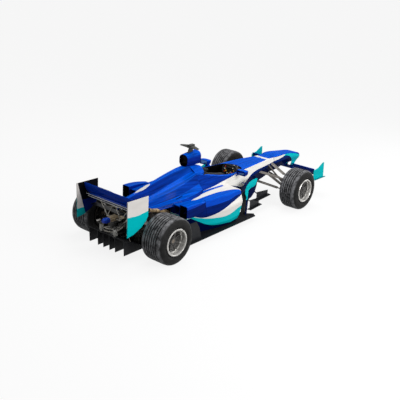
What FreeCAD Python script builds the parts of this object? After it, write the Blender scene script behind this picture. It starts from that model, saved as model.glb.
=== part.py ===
"""Open wheel racing car of the grooved-tyre years, as a parametric FreeCAD document.

Frame: +X forwards, +Y to the driver's left, +Z up, millimetres. The origin is on the ground
under the middle of the overall length. Sizes come from the sheet named Sizes.
"""

import FreeCAD, Part
import Sketcher
import math
import os
from FreeCAD import Placement, Rotation, Vector

doc = FreeCAD.newDocument("open_wheel_racing_car")

# ---------------------------------------------------------------- driving dimensions
SIZES = [
    # alias, millimetres (degrees or a count where the note says so), note
    ("wheelbase", 3100, "front axle to rear axle"),
    ("front_overhang", 1100, "front axle to the tip of the nose"),
    ("rear_overhang", 530, "rear axle to the trailing edge of the rear wing's end plates"),
    ("front_track", 1470, "between the centres of the front tyres"),
    ("rear_track", 1410, "between the centres of the rear tyres"),
    ("tyre_radius", 330, "all four tyres"),
    ("front_tyre_width", 325, "section width"),
    ("rear_tyre_width", 375, "section width"),
    ("bead_inset", 14, "side of the tyre to the rim flange"),
    ("bead_radius", 172, "rim seat"),
    ("flange_radius", 190, "rim flange"),
    ("rim_wall", 7, "barrel thickness"),
    ("front_dish", 40, "rim edge to the face of a front wheel"),
    ("rear_dish", 66, "rim edge to the face of a rear wheel"),
    ("spoke_thick", 16, "wheel face thickness"),
    ("spoke_width", 22, "each spoke of a wheel"),
    ("spoke_count", 8, "a count"),
    ("hub_radius", 50, "wheel centre"),
    ("axle_radius", 26, "stub axle"),
    ("axle_gap", 0.4, "stub axle to wheel bore"),
    ("disc_radius", 139, "brake disc"),
    ("disc_thick", 28, "brake disc"),
    ("disc_gap", 6, "brake disc to its caliper"),
    ("seat_gap", 0.3, "between pieces that are fixed to each other"),
    ("engine_bay", 1135, "rear axle to the tub's rear bulkhead"),
    ("nose_length", 965, "nose cone, from its joint with the tub to the tip"),
    ("tub_wall", 26, "carbon sandwich wall of the tub"),
    ("skin", 7, "body panel thickness"),
    ("ride_height", 40, "ground to the plank"),
    ("plank_thick", 10, "skid plank"),
    ("plank_width", 300, "skid plank"),
    ("step_height", 25, "plank top to the underside of the floor"),
    ("floor_thick", 8, "floor panel"),
    ("floor_half", 690, "half width of the floor in front of the rear tyres"),
    ("tail_floor_half", 430, "half width of the floor between the rear tyres"),
    ("diffuser_length", 478, "from the end of the floor"),
    ("diffuser_half", 345, "half width of the diffuser"),
    ("diffuser_rise", 232, "height that its roof gains"),
    ("fin_thick", 6, "vertical fins and fences"),
    ("wing_span", 1000, "rear wing, between the outer faces of its end plates"),
    ("wing_top", 915, "top of the rear wing's end plates above the ground"),
    ("wing_chord", 370, "length of the rear wing's end plates"),
    ("end_plate_thick", 14, "rear wing end plates"),
    ("nose_wing_setback", 660, "front axle to the rear of the front wing"),
    ("nose_wing_span", 1340, "front wing over its end plates"),
    ("nose_wing_height", 380, "front wing main plane above the ground"),
    ("nose_plate_high", 265, "front wing end plates"),
    ("nose_plate_thick", 10, "front wing end plates"),
    ("pod_radius", 90, "outside of the intake pod"),
    ("pod_length", 285, "intake pod"),
    ("pod_height", 1045, "axis of the intake pod above the ground"),
    ("camera_rise", 110, "onboard camera above the intake pod"),
    ("camera_span", 330, "onboard camera, tip to tip"),
    ("camera_half_high", 20, "onboard camera, half the height of its bar"),
    ("board_thick", 8, "bargeboards"),
    ("engine_length", 620, "engine block"),
    ("arm_chord", 40, "width of a suspension tube at its ball joint"),
    ("fairing_chord", 84, "width of the fairing on a suspension tube"),
    ("fairing_thick", 30, "thickness of the fairing"),
    ("arm_thick", 17, "thickness of a suspension tube"),
    ("rod_radius", 14, "push rods and track rods"),
    ("ball_radius", 17, "ball joints"),
    ("stud_radius", 8, "studs in the ball joints"),
    ("ball_spread", 95, "ball joints above and below the wheel centre"),
    ("kingpin_inset", 104, "tyre centre plane to the ball joints"),
    ("upright_half", 32, "half the length of an upright along the car"),
    ("steer_arm", 92, "steering arm, from the kingpin to the track rod"),
    ("shaft_radius", 16, "drive shafts"),
    ("column_radius", 12, "steering column"),
    ("hub_out_front", 117, "wheel centre to the outer end of a front axle"),
    ("hub_out_rear", 114, "wheel centre to the outer end of a rear axle"),
    ("starter_radius", 16, "starter socket at the back of the gearbox"),
    ("starter_depth", 60, "starter socket"),
]

sheet = doc.addObject("Spreadsheet::Sheet", "Sizes")
for row, (alias, number, note) in enumerate(SIZES, 1):
    sheet.set(f"A{row}", note)
    sheet.set(f"B{row}", str(number))
    sheet.setAlias(f"B{row}", alias)
doc.recompute()


def size(alias):
    """The number in the cell with that alias."""
    return float(sheet.get(alias))


# ---------------------------------------------------------------- places that many pieces share
wheelbase = size("wheelbase")
tyre_radius = size("tyre_radius")
seat_gap = size("seat_gap")
nose_tip_x = (wheelbase + size("front_overhang") + size("rear_overhang")) / 2
front_axle_x = nose_tip_x - size("front_overhang")
rear_axle_x = front_axle_x - wheelbase
tail_x = -nose_tip_x
tub_front_x = nose_tip_x - size("nose_length")
tub_rear_x = rear_axle_x + size("engine_bay")
tub_length = tub_front_x - tub_rear_x
plank_top = size("ride_height") + size("plank_thick")
floor_bottom = plank_top + size("step_height")
floor_top = floor_bottom + size("floor_thick")

FRONT_AXLE = "((Sizes.wheelbase + Sizes.rear_overhang - Sizes.front_overhang) / 2)"
REAR_AXLE = "((Sizes.rear_overhang - Sizes.front_overhang - Sizes.wheelbase) / 2)"
TAIL = "(-(Sizes.wheelbase + Sizes.front_overhang + Sizes.rear_overhang) / 2)"
FLOOR_BOTTOM = "(Sizes.ride_height + Sizes.plank_thick + Sizes.step_height)"
FLOOR_TOP = "(Sizes.ride_height + Sizes.plank_thick + Sizes.step_height + Sizes.floor_thick)"

front_half_track = size("front_track") / 2
rear_half_track = size("rear_track") / 2
front_kingpin_y = front_half_track - size("kingpin_inset")
rear_kingpin_y = rear_half_track - size("kingpin_inset")

nodes = []


def node(obj, label):
    """Marks a document object as one sub-part, which is written to parts/LABEL.step."""
    obj.Label = label
    nodes.append(obj)
    return obj


def shaped(name, shape):
    """A Part::Feature that holds a shape made by Part's own functions."""
    obj = doc.addObject("Part::Feature", name)
    obj.Shape = shape
    return obj


def primitive(kind, name, x="0", y="0", z="0", turn=None, **lengths):
    """A Part primitive whose sizes and place are expressions; turn is a Rotation."""
    obj = doc.addObject(kind, name)
    if turn:
        obj.Placement = Placement(Vector(), turn)
    for prop, expression in lengths.items():
        obj.setExpression(prop, expression)
    for axis, expression in (("x", x), ("y", y), ("z", z)):
        obj.setExpression(f"Placement.Base.{axis}", expression)
    return obj


# ---------------------------------------------------------------- sketches bound to the sheet
PLANE_OF = {"side": "XZ_Plane", "top": "XY_Plane", "front": "YZ_Plane"}


def outline(body, name, plane, corners, offset="0"):
    """A closed sketch of straight edges in a body's origin plane.

    corners is a list of (across, up) expressions. offset moves the sketch along its normal.
    """
    sketch = body.newObject("Sketcher::SketchObject", name)
    role = PLANE_OF[plane]
    support = next(f for f in body.Origin.OriginFeatures if f.Role == role)
    sketch.AttachmentSupport = [(support, "")]
    sketch.MapMode = "FlatFace"
    sketch.setExpression(".AttachmentOffset.Base.z", offset)
    count = len(corners)
    start = []
    for i in range(count):
        turn = 2 * math.pi * i / count
        start.append(Vector(100 * math.cos(turn), 100 * math.sin(turn), 0))
    for i in range(count):
        sketch.addGeometry(Part.LineSegment(start[i], start[(i + 1) % count]), False)
    for i in range(count):
        sketch.addConstraint(Sketcher.Constraint("Coincident", i, 2, (i + 1) % count, 1))
    for i, (across, up) in enumerate(corners):
        for kind, value, now in (("DistanceX", across, start[i].x), ("DistanceY", up, start[i].y)):
            index = sketch.addConstraint(Sketcher.Constraint(kind, -1, 1, i, 1, now))
            sketch.setExpression(f"Constraints[{index}]", value)
    return sketch


def padded_body(name, plane, corners, thickness, offset="0"):
    """A PartDesign body: one outline padded by thickness, along the sketch's normal."""
    body = doc.addObject("PartDesign::Body", name)
    sketch = outline(body, name + "_outline", plane, corners, offset)
    pad = body.newObject("PartDesign::Pad", name + "_pad")
    pad.Profile = sketch
    pad.setExpression("Length", thickness)
    return body


def turned_body(name, corners):
    """A PartDesign body turned about its own Y axis; corners are (along the axis, radius)."""
    body = doc.addObject("PartDesign::Body", name)
    sketch = outline(body, name + "_profile", "front", corners)
    turn = body.newObject("PartDesign::Revolution", name + "_turn")
    turn.Profile = sketch
    turn.ReferenceAxis = (sketch, ["H_Axis"])
    turn.Angle = 360
    return body


def mirrored(source, name):
    """The same piece on the other side of the car."""
    mirror = doc.addObject("Part::Mirroring", name)
    mirror.Source = source
    mirror.Normal = Vector(0, 1, 0)
    return mirror


def joined(name, kind, parts):
    """Part::MultiFuse or Part::Compound of several objects."""
    result = doc.addObject(kind, name)
    if kind == "Part::Compound":
        result.Links = parts
    else:
        result.Shapes = parts
    return result


def less(name, base, tool):
    """Part::Cut of one object by another."""
    cut = doc.addObject("Part::Cut", name)
    cut.Base = base
    cut.Tool = tool
    return cut


def both_sides(source, name):
    """One node that holds a piece and its mirror image."""
    return joined(name, "Part::Compound", [source, mirrored(source, name + "_other")])


# ---------------------------------------------------------------- lofted body sections
def ring(x, corners):
    """A closed wire of lines and arcs in the plane X = x; corners are (y, z, radius)."""
    count = len(corners)
    points = [Vector(x, y, z) for y, z, _ in corners]
    ends = []
    for i in range(count):
        here = points[i]
        back = (points[i - 1] - here).normalize()
        ahead = (points[(i + 1) % count] - here).normalize()
        half = back.getAngle(ahead) / 2
        reach = corners[i][2] / math.tan(half)
        bisector = (back + ahead).normalize()
        middle = here + bisector * (corners[i][2] / math.sin(half) - corners[i][2])
        ends.append((here + back * reach, middle, here + ahead * reach))
    edges = []
    for i in range(count):
        arc = Part.Arc(*ends[i])
        edges.append(arc.toShape())
        edges.append(Part.LineSegment(ends[i][2], ends[(i + 1) % count][0]).toShape())
    return Part.Wire(edges)


def whole(half):
    """A symmetric list of corners from its left half, given from the top down."""
    return half + [(-y, z, r) for y, z, r in reversed(half)]


def loft(rings, straight=False):
    """A solid through the rings, whichever way they run: smooth, or straight from ring to ring."""
    solid = Part.makeLoft(rings, True, straight)
    if solid.Volume < 0:
        solid = Part.makeLoft(rings[::-1], True, straight)
    return solid


def lens(middle, half_chord, half_thick):
    """A closed wire of two arcs in the plane Y = middle.y."""
    front = middle + Vector(half_chord, 0, 0)
    rear = middle - Vector(half_chord, 0, 0)
    up = Vector(0, 0, half_thick)
    upper = Part.Arc(front, middle + up, rear).toShape()
    lower = Part.Arc(rear, middle - up, front).toShape()
    return Part.Wire([upper, lower])


def block(x0, x1, y0, y1, z0, z1):
    return Part.makeBox(x1 - x0, y1 - y0, z1 - z0, Vector(x0, y0, z0))


def strut(start, end, chord, thick):
    """A streamlined tube between two points, its chord as near to the X axis as it can be."""
    along = (end - start).normalize()
    across = (Vector(1, 0, 0) - along * along.x).normalize()
    tip = across * (chord / 2)
    side = along.cross(across) * (thick / 2)
    arcs = [
        Part.Arc(start - tip, start + side, start + tip).toShape(),
        Part.Arc(start + tip, start - side, start - tip).toShape(),
    ]
    face = Part.Face(Part.Wire(arcs))
    return face.extrude(end - start)


def rod(start, end, radius):
    return Part.makeCylinder(radius, (end - start).Length, start, end - start)


def ball(centre, radius):
    return Part.makeSphere(radius, centre)


def fused(shapes):
    return shapes[0].multiFuse(shapes[1:]).removeSplitter()


# ---------------------------------------------------------------- tub and nose
TUB = [
    # share of the length, top_half, top_z, waist_half, waist_z, keel_half, keel_z
    (0.00, 205, 862, 300, 600, 262, 83),
    (0.20, 264, 775, 325, 570, 285, 83),
    (0.40, 262, 712, 312, 550, 250, 83),
    (0.60, 215, 714, 262, 560, 150, 205),
    (0.80, 164, 712, 205, 590, 92, 330),
    (1.00, 130, 708, 160, 600, 76, 436),
]
NOSE = [
    (0.00, 130, 708, 160, 600, 76, 436),
    (0.35, 122, 704, 148, 610, 78, 470),
    (0.70, 104, 664, 124, 590, 74, 486),
    (0.92, 78, 604, 94, 556, 62, 490),
    (1.00, 40, 552, 50, 532, 38, 506),
]
TOP_EDGE, WAIST_EDGE, KEEL_EDGE = 22, 60, 34  # corner radii of the widest sections
NOSE_HALF, NOSE_KEEL = 130, 76  # the half widths below which the corners get sharper


def hull_rings(table, start_x, length, inset=0.0):
    """The rings of a hull whose table is like TUB, drawn in by inset."""
    rings = []
    for share, top_half, top_z, waist_half, waist_z, keel_half, keel_z in table:
        slim = min(1.0, top_half / NOSE_HALF)
        keel_slim = slim * min(1.0, keel_half / NOSE_KEEL)
        half = [
            (top_half - inset, top_z - inset, TOP_EDGE * slim),
            (waist_half - inset, waist_z, WAIST_EDGE * slim),
            (keel_half - inset, keel_z + inset, KEEL_EDGE * keel_slim),
        ]
        rings.append(ring(start_x + share * length, whole(half)))
    return rings


FAR = 3000  # beyond every side of the car
tub_wall = size("tub_wall")
below_floor = block(-FAR, FAR, -FAR, FAR, -FAR, floor_top + seat_gap)
tub_outer = loft(hull_rings(TUB, tub_rear_x, tub_length)).cut(below_floor)
between_walls = block(tub_rear_x + tub_wall, tub_front_x - tub_wall, -FAR, FAR, -FAR, FAR)
tub_inner = loft(hull_rings(TUB, tub_rear_x, tub_length, tub_wall)).common(between_walls)

# The cockpit opening in plan: shares of the tub's length and half widths
opening_rear_x = tub_rear_x + 0.13 * tub_length
opening_front_x = tub_rear_x + 0.58 * tub_length
opening_rear_half = 232
opening_front_half = 222
opening_rear_bow = 165
opening_front_bow = 210


def cockpit_opening(z0, z1):
    """The opening as a prism: its front is round, and its rear bows in around the hoop."""
    rear_x = opening_rear_x - opening_rear_bow
    front_x = opening_front_x - opening_front_bow
    corners = [
        Vector(rear_x, opening_rear_half, z0),
        Vector(front_x, opening_front_half, z0),
        Vector(front_x, -opening_front_half, z0),
        Vector(rear_x, -opening_rear_half, z0),
    ]
    edges = [
        Part.LineSegment(corners[0], corners[1]).toShape(),
        Part.Arc(corners[1], Vector(opening_front_x, 0, z0), corners[2]).toShape(),
        Part.LineSegment(corners[2], corners[3]).toShape(),
        Part.Arc(corners[3], Vector(opening_rear_x, 0, z0), corners[0]).toShape(),
    ]
    return Part.Face(Part.Wire(edges)).extrude(Vector(0, 0, z1 - z0))


# The roll hoop's fairing rises from the back of the cockpit to the engine cover
HOOP = [
    # share from the bulkhead to the cockpit, crown_half, crown_z, side_half, side_z
    (0.00, 58, 950, 200, 858),
    (0.55, 50, 925, 185, 846),
    (1.00, 34, 880, 150, 826),
]
hoop_rings = []
for share, crown_half, crown_z, side_half, side_z in HOOP:
    x = tub_rear_x + share * (opening_rear_x + 60 - tub_rear_x)
    half = [(crown_half, crown_z, 20), (side_half, side_z, 14), (side_half - 20, 600, 10)]
    hoop_rings.append(ring(x, whole(half)))
hoop = loft(hoop_rings)

# The dash is a beam over the driver's legs that carries the steering column
dash_x = opening_front_x + 12
column_tilt = math.radians(12)
wheel_centre = Vector(dash_x - 185, 0, 655)
column_axis = Vector(math.cos(column_tilt), 0, -math.sin(column_tilt))
dash = tub_inner.common(block(dash_x, dash_x + 18, -FAR, FAR, wheel_centre.z - 85, FAR))
column_bore = rod(
    wheel_centre, wheel_centre + column_axis * 400, size("column_radius") + size("axle_gap")
)

# The track rods go in through the tub's sides
rack_x = front_axle_x + size("steer_arm")
rack_y = 96
rack_z = 440
rod_end_y = front_kingpin_y - 12
rod_end_z = tyre_radius - 24
rod_way = 30  # what a rod sweeps at full lock, with room to spare
rack_end = Vector(rack_x, rack_y, rack_z)
rod_outer = Vector(rack_x, rod_end_y, rod_end_z)
rod_port = rod(rack_end - (rod_outer - rack_end) * 0.2, rod_outer, rod_way)
rod_ports = [rod_port, rod_port.mirror(Vector(), Vector(0, 1, 0))]

tub = tub_outer.cut(tub_inner).fuse([hoop, dash]).cut(cockpit_opening(500, FAR))
tub = tub.cut([column_bore] + rod_ports)

nose_outer = loft(hull_rings(NOSE, tub_front_x + seat_gap, size("nose_length") - seat_gap))

# ---------------------------------------------------------------- engine cover
COVER = [
    # share of the length, then half width and height of the spine, the valley beside it,
    # the ridge, the dip, the brow over the side pod and the hem
    (0.00, 58, 950, 108, 886, 204, 868, 258, 736, 335, 658, 345, 590),
    (0.33, 36, 905, 90, 782, 220, 752, 272, 656, 392, 646, 420, 590),
    (0.66, 28, 812, 72, 682, 150, 652, 194, 584, 276, 586, 300, 540),
    (1.00, 22, 715, 50, 624, 80, 594, 98, 560, 128, 548, 138, 512),
]
COVER_RADII = [10, 18, 14, 16, 14, 8]  # at the tub; they shrink towards the tail
cover_length = size("engine_bay") + 150
skin = size("skin")


def cover_rings(inset, drop):
    rings = []
    for share, *numbers in COVER:
        pairs = list(zip(numbers[0::2], numbers[1::2]))
        half = []
        for (y, z), radius in zip(pairs, COVER_RADII):
            half.append((y - inset, z - inset, radius * (1 - 0.55 * share)))
        hem_y, hem_z = pairs[-1]
        half[-1] = (hem_y - inset, hem_z - drop, half[-1][2])
        rings.append(ring(tub_rear_x - seat_gap - share * cover_length, whole(half)))
    return rings


cover_outer = loft(cover_rings(0, 0))
cover = cover_outer.cut(loft(cover_rings(skin, 60)))

# ---------------------------------------------------------------- side pods
SIDEPOD = [
    # share, crown_z, shoulder_half, shoulder_z, belly_half, belly_z, lip_half, lip_z, foot_half
    (0.00, 612, 588, 592, 645, 420, 600, 200, 540),
    (0.30, 622, 590, 596, 655, 400, 615, 185, 545),
    (0.65, 620, 560, 600, 600, 400, 550, 240, 460),
    (1.00, 606, 500, 596, 515, 500, 470, 430, 360),
]
sidepod_front_x = tub_rear_x + 0.28 * tub_length
sidepod_rear_x = rear_axle_x + 485
sidepod_inner = 305
sidepod_length = sidepod_front_x - sidepod_rear_x


def sidepod_rings(inset):
    rings = []
    for share, crown_z, shoulder, shoulder_z, belly, belly_z, lip, lip_z, foot in SIDEPOD:
        foot_z = floor_top + seat_gap
        corners = [
            (sidepod_inner + inset, crown_z - inset, 4),
            (shoulder - inset, shoulder_z - inset, 30),
            (belly - inset, belly_z, 90 - 50 * share),
            (lip - inset, lip_z + inset, 20),
            (foot - inset, foot_z + inset, 4),
            (sidepod_inner + inset, foot_z + inset, 4),
        ]
        rings.append(ring(sidepod_front_x - share * sidepod_length, corners))
    return rings


inlet_depth = 330
inlet_sill_z = 215
outlet_depth = 180
inlet_box = block(
    sidepod_front_x - inlet_depth, FAR, sidepod_inner, FAR, inlet_sill_z, FAR
)
outlet_box = block(-FAR, sidepod_rear_x + outlet_depth, sidepod_inner + 60, FAR, 470, FAR)
# Over and under the reach of the loft, so that the cuts leave no skin at the ends
inlet = loft(sidepod_rings(26)).common(inlet_box)
outlet = loft(sidepod_rings(14)).common(outlet_box)
# A boxed flip-up at the back of each side pod, open to the rear
FLIP_UPS = [
    # x from the side pod's tail, inner half, outer half, bottom, top
    (-30, 500, 642, 452, 640),
    (200, 500, 634, 455, 634),
    (400, 498, 606, 480, 604),
]


def flip_rings(inset):
    rings = []
    for place, inner_half, outer_half, bottom, top in FLIP_UPS:
        y0, y1 = inner_half + inset, outer_half - inset
        z0, z1 = bottom + inset, top - inset
        corners = [(y0, z1, 6), (y1, z1, 16), (y1, z0, 16), (y0, z0, 6)]
        rings.append(ring(sidepod_rear_x + place, corners))
    return rings


flip_inside = loft(flip_rings(skin)).common(block(-FAR, sidepod_rear_x + 170, 0, FAR, 0, FAR))
sidepod = loft(sidepod_rings(0)).fuse(loft(flip_rings(0)))
sidepod = sidepod.cut([cover_outer, tub_outer, inlet, outlet, flip_inside])
sidepod_left = shaped("sidepod_left_solid", sidepod)

# ---------------------------------------------------------------- intake pod on the roll hoop
pod_radius = size("pod_radius")
pod_rear_x = tub_rear_x - 75
pod_z = size("pod_height")


def oval_ring(x, wide, high, z, corner):
    return ring(x, whole([(wide, z + high, corner), (wide, z - high, corner)]))


def pod_loft(inset):
    rings = []
    for share, grow, lift in ((0.0, -8, -6), (0.5, 0, 0), (1.0, 6, 4)):
        wide = pod_radius + grow - inset
        rings.append(
            oval_ring(pod_rear_x + share * size("pod_length"), wide, wide + 8, pod_z + lift, wide * 0.8)
        )
    return loft(rings)


neck_z = pod_z - 150
neck_rings = []
for place, half_width in ((0.05, 28), (0.4, 52), (0.78, 36)):
    neck_x = pod_rear_x + place * size("pod_length")
    neck_rings.append(oval_ring(neck_x, half_width, 80, neck_z, 20))
pod = pod_loft(0).fuse(loft(neck_rings)).cut([pod_loft(skin), cover_outer, hoop, tub_outer])

# ---------------------------------------------------------------- body nodes
node(shaped("tub_solid", tub), "monocoque")
node(shaped("cover_solid", cover), "engine_cover")
pod_solid = shaped("pod_solid", pod)
node(pod_solid, "airbox_pod")
node(sidepod_left, "sidepod_left")
node(mirrored(sidepod_left, "sidepod_right_solid"), "sidepod_right")

# The camera: a flat bar, thinner to its tips, on a blade over the pod
POD_TOP = "(Sizes.pod_height + Sizes.pod_radius)"
CAMERA_Z = "(" + POD_TOP + " + Sizes.camera_rise - Sizes.camera_half_high)"
POD_MIDDLE = "(" + REAR_AXLE + " + Sizes.engine_bay - 75 + Sizes.pod_length / 2)"
CAMERA_LENSES = [
    # from right to left: share of the half span, half chord, share of the half height, sweep back
    (-1.0, 34, 0.4, 22),
    (-0.4, 56, 1, 0),
    (0.4, 56, 1, 0),
    (1.0, 34, 0.4, 22),
]
pod_middle_x = rear_axle_x + size("engine_bay") - 75 + size("pod_length") / 2
camera_z = size("pod_height") + size("pod_radius") + size("camera_rise") - size("camera_half_high")
camera_rings = []
for share, half_chord, height_share, sweep in CAMERA_LENSES:
    middle = Vector(pod_middle_x - sweep, share * size("camera_span") / 2, camera_z)
    camera_rings.append(lens(middle, half_chord, height_share * size("camera_half_high")))
camera_bar = shaped("camera_bar", loft(camera_rings, straight=True))
camera_blade = padded_body(
    "camera_blade",
    "side",
    [
        (POD_MIDDLE + " - 60", POD_TOP + " - 1"),
        (POD_MIDDLE + " + 60", POD_TOP + " + 9"),
        (POD_MIDDLE + " + 40", CAMERA_Z),
        (POD_MIDDLE + " - 22", CAMERA_Z),
    ],
    "14 + 0",
    "-7",
)
camera_body = primitive(
    "Part::Box",
    "camera_body",
    x=POD_MIDDLE + " - 42",
    y="-28",
    z=CAMERA_Z + " - 14",
    Length="110",
    Width="56",
    Height="46",
)
camera_whole = joined("camera_whole", "Part::MultiFuse", [camera_bar, camera_blade, camera_body])
node(less("camera_solid", camera_whole, pod_solid), "onboard_camera")

# ---------------------------------------------------------------- cockpit
seat_profile = [
    # x from the cockpit's rear, height: the shell's upper face from the head to the knees
    (46, 700),
    (96, 500),
    (170, 300),
    (300, 205),
    (520, 235),
    (700, 300),
]
SEAT_THICK = 22
seat_points = [Vector(opening_rear_x + x, 0, z) for x, z in seat_profile]
seat_points += [Vector(opening_rear_x + x, 0, z - SEAT_THICK) for x, z in reversed(seat_profile)]
seat_points[-1] = seat_points[0] - Vector(SEAT_THICK, 0, 0)
seat_points[-2] = seat_points[1] - Vector(SEAT_THICK, 0, 4)
seat_face = Part.Face(Part.makePolygon(seat_points + [seat_points[0]]))
seat_half = 175
seat_shell = seat_face.extrude(Vector(0, 2 * seat_half, 0))
seat_shell.translate(Vector(0, -seat_half, 0))
seat_side_profile = seat_points[: len(seat_profile)]
side_top = [Vector(p.x, 0, p.z + 150) for p in reversed(seat_side_profile[1:])]
side_face = Part.Face(Part.makePolygon(seat_side_profile + side_top + [seat_side_profile[0]]))
seat_sides = []
for y in (-seat_half, seat_half - SEAT_THICK):
    side = side_face.extrude(Vector(0, SEAT_THICK, 0))
    side.translate(Vector(0, y, 0))
    seat_sides.append(side)
node(shaped("seat_solid", fused([seat_shell] + seat_sides)), "seat")

# The headrest: a horseshoe of padding around the driver's head
head_half = 120
rest_front_x = opening_rear_x + 0.42 * (opening_front_x - opening_rear_x)
rest_bottom_z = 700
rest_top = loft(hull_rings(TUB, tub_rear_x, tub_length, -6))
head_space = block(opening_rear_x + 105, FAR, -head_half, head_half, 0, FAR)
rest_block = block(-FAR, rest_front_x, -FAR, FAR, rest_bottom_z, FAR)
rest = cockpit_opening(rest_bottom_z, FAR).common(rest_block).common(rest_top)
rest = rest.cut([head_space, hoop])
node(shaped("headrest_solid", rest), "headrest")

# The steering wheel on its column
WHEEL_THICK = 24
wheel_ring = Part.Wire(
    [
        Part.Arc(Vector(0, -140, 0), Vector(0, -122, 78), Vector(0, -60, 92)).toShape(),
        Part.LineSegment(Vector(0, -60, 92), Vector(0, 60, 92)).toShape(),
        Part.Arc(Vector(0, 60, 92), Vector(0, 122, 78), Vector(0, 140, 0)).toShape(),
        Part.Arc(Vector(0, 140, 0), Vector(0, 118, -66), Vector(0, 62, -76)).toShape(),
        Part.LineSegment(Vector(0, 62, -76), Vector(0, -62, -76)).toShape(),
        Part.Arc(Vector(0, -62, -76), Vector(0, -118, -66), Vector(0, -140, 0)).toShape(),
    ]
)
wheel_rim = Part.Face(wheel_ring).extrude(Vector(WHEEL_THICK, 0, 0))
grip_holes = []
for side in (-1, 1):
    hole = Part.makeCylinder(24, 3 * WHEEL_THICK, Vector(-WHEEL_THICK, side * 92, 22), Vector(1, 0, 0))
    hole_end = Vector(-WHEEL_THICK, side * 90, -26)
    long_hole = hole.fuse(Part.makeCylinder(20, 3 * WHEEL_THICK, hole_end, Vector(1, 0, 0)))
    grip_holes.append(long_hole)
column = Part.makeCylinder(size("column_radius"), 300, Vector(WHEEL_THICK, 0, 0), Vector(1, 0, 0))
boss = Part.makeCylinder(30, 34, Vector(WHEEL_THICK, 0, 0), Vector(1, 0, 0))
steering = wheel_rim.cut(grip_holes).fuse([column, boss])
steering_wheel = shaped("steering_wheel_solid", steering)
steering_wheel.Placement = Placement(wheel_centre, Rotation(Vector(0, 1, 0), math.degrees(column_tilt)))
node(steering_wheel, "steering_wheel")

# Mirrors on stalks beside the cockpit
mirror_x = opening_front_x - 315
MIRROR = [
    # x from the mirror's middle, inner side, outer side, top, bottom, corner radius
    (-60, 298, 461, 783, 707, 14),
    (40, 308, 447, 776, 715, 14),
    (85, 338, 415, 762, 731, 12),
]
mirror_rings = []
for place, inner, outer, top, bottom, radius in MIRROR:
    corners = [(inner, top, radius), (outer, top, radius), (outer, bottom, radius), (inner, bottom, radius)]
    mirror_rings.append(ring(mirror_x + place, corners))
housing = loft(mirror_rings)
glass_recess = block(mirror_x - 61, mirror_x - 50, 308, 451, 715, 775)
stalk = strut(Vector(mirror_x + 10, 350, 727), Vector(mirror_x - 25, 210, 630), 46, 12)
mirror_shell = fused([housing, stalk]).cut([glass_recess, tub_outer])
mirror_left = shaped("mirror_left", mirror_shell)
node(both_sides(mirror_left, "mirror_pair"), "mirrors")

# ---------------------------------------------------------------- front wing
nose_wing_half = size("nose_wing_span") / 2
wing_z = size("nose_wing_height")
nose_wing_rear_x = front_axle_x + size("nose_wing_setback")


def aerofoil(le_x, le_z, te_x, te_z, camber, thick):
    """An aerofoil face in the plane Y = 0: two arcs, a round nose and a blunt trailing edge."""
    lead = Vector(le_x, 0, le_z)
    trail = Vector(te_x, 0, te_z)
    up = Vector(0, 1, 0).cross(trail - lead).normalize()
    if up.z < 0:
        up = up * -1
    blunt = up * 2
    middle = (lead + trail) / 2
    nose_radius = up * (thick / 4)
    front = lead + (lead - trail).normalize() * (thick / 4)
    edges = [
        Part.Arc(lead + nose_radius, middle + up * (thick / 2 - camber), trail + blunt).toShape(),
        Part.LineSegment(trail + blunt, trail - blunt).toShape(),
        Part.Arc(trail - blunt, middle - up * (thick / 2 + camber), lead - nose_radius).toShape(),
        Part.Arc(lead - nose_radius, front, lead + nose_radius).toShape(),
    ]
    return Part.Face(Part.Wire(edges))


def spanned(face, y0, y1):
    moved = face.copy()
    moved.translate(Vector(0, y0, 0))
    return moved.extrude(Vector(0, y1 - y0, 0))


inside_plate = nose_wing_half - size("nose_plate_thick") - seat_gap
main_plane = spanned(
    aerofoil(nose_wing_rear_x + 250, wing_z - 8, nose_wing_rear_x + 60, wing_z + 12, 10, 26),
    -inside_plate,
    inside_plate,
)
FLAPS = [
    # leading edge x and z, trailing edge x and z from the wing's datum, camber, thickness
    (150, 30, 64, 60, 7, 12),
    (60, 50, -38, 142, 14, 14),
]
flap_inner = 205
flaps = []
for le_x, le_z, te_x, te_z, camber, thick in FLAPS:
    section = aerofoil(
        nose_wing_rear_x + le_x, wing_z + le_z, nose_wing_rear_x + te_x, wing_z + te_z, camber, thick
    )
    flaps.append(spanned(section, flap_inner, inside_plate))
node(shaped("nose_wing_plane", main_plane), "front_wing_plane")
nose_wing_flap = shaped("nose_wing_flap", Part.makeCompound(flaps))
node(both_sides(nose_wing_flap, "nose_wing_flaps"), "front_wing_flaps")

# End plates: high at the front and falling to the rear, on a foot plate
WING_REAR = "(" + FRONT_AXLE + " + Sizes.nose_wing_setback)"
PLATE_FOOT = "(Sizes.nose_wing_height - 60)"
end_plate = padded_body(
    "nose_end_plate",
    "side",
    [
        (WING_REAR + " - 50", PLATE_FOOT),
        (WING_REAR + " + 280", PLATE_FOOT),
        (WING_REAR + " + 262", PLATE_FOOT + " + Sizes.nose_plate_high"),
        (WING_REAR + " + 225", PLATE_FOOT + " + Sizes.nose_plate_high"),
        (WING_REAR + " + 90", PLATE_FOOT + " + 195"),
        (WING_REAR + " - 50", PLATE_FOOT + " + 175"),
    ],
    "Sizes.nose_plate_thick",
    "Sizes.nose_wing_span / 2 - Sizes.nose_plate_thick",
)
foot_plate = padded_body(
    "nose_foot_plate",
    "top",
    [
        (WING_REAR + " - 50", "Sizes.nose_wing_span / 2 - 1"),
        (WING_REAR + " + 280", "Sizes.nose_wing_span / 2 - 1"),
        (WING_REAR + " + 312", "Sizes.nose_wing_span / 2 + 28"),
        (WING_REAR + " - 30", "Sizes.nose_wing_span / 2 + 28"),
    ],
    "Sizes.nose_plate_thick",
    PLATE_FOOT,
)
left_end_plate = joined(
    "nose_end_plates_left",
    "Part::MultiFuse",
    [mirrored(end_plate, "nose_end_plate_left"), foot_plate],
)
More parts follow.
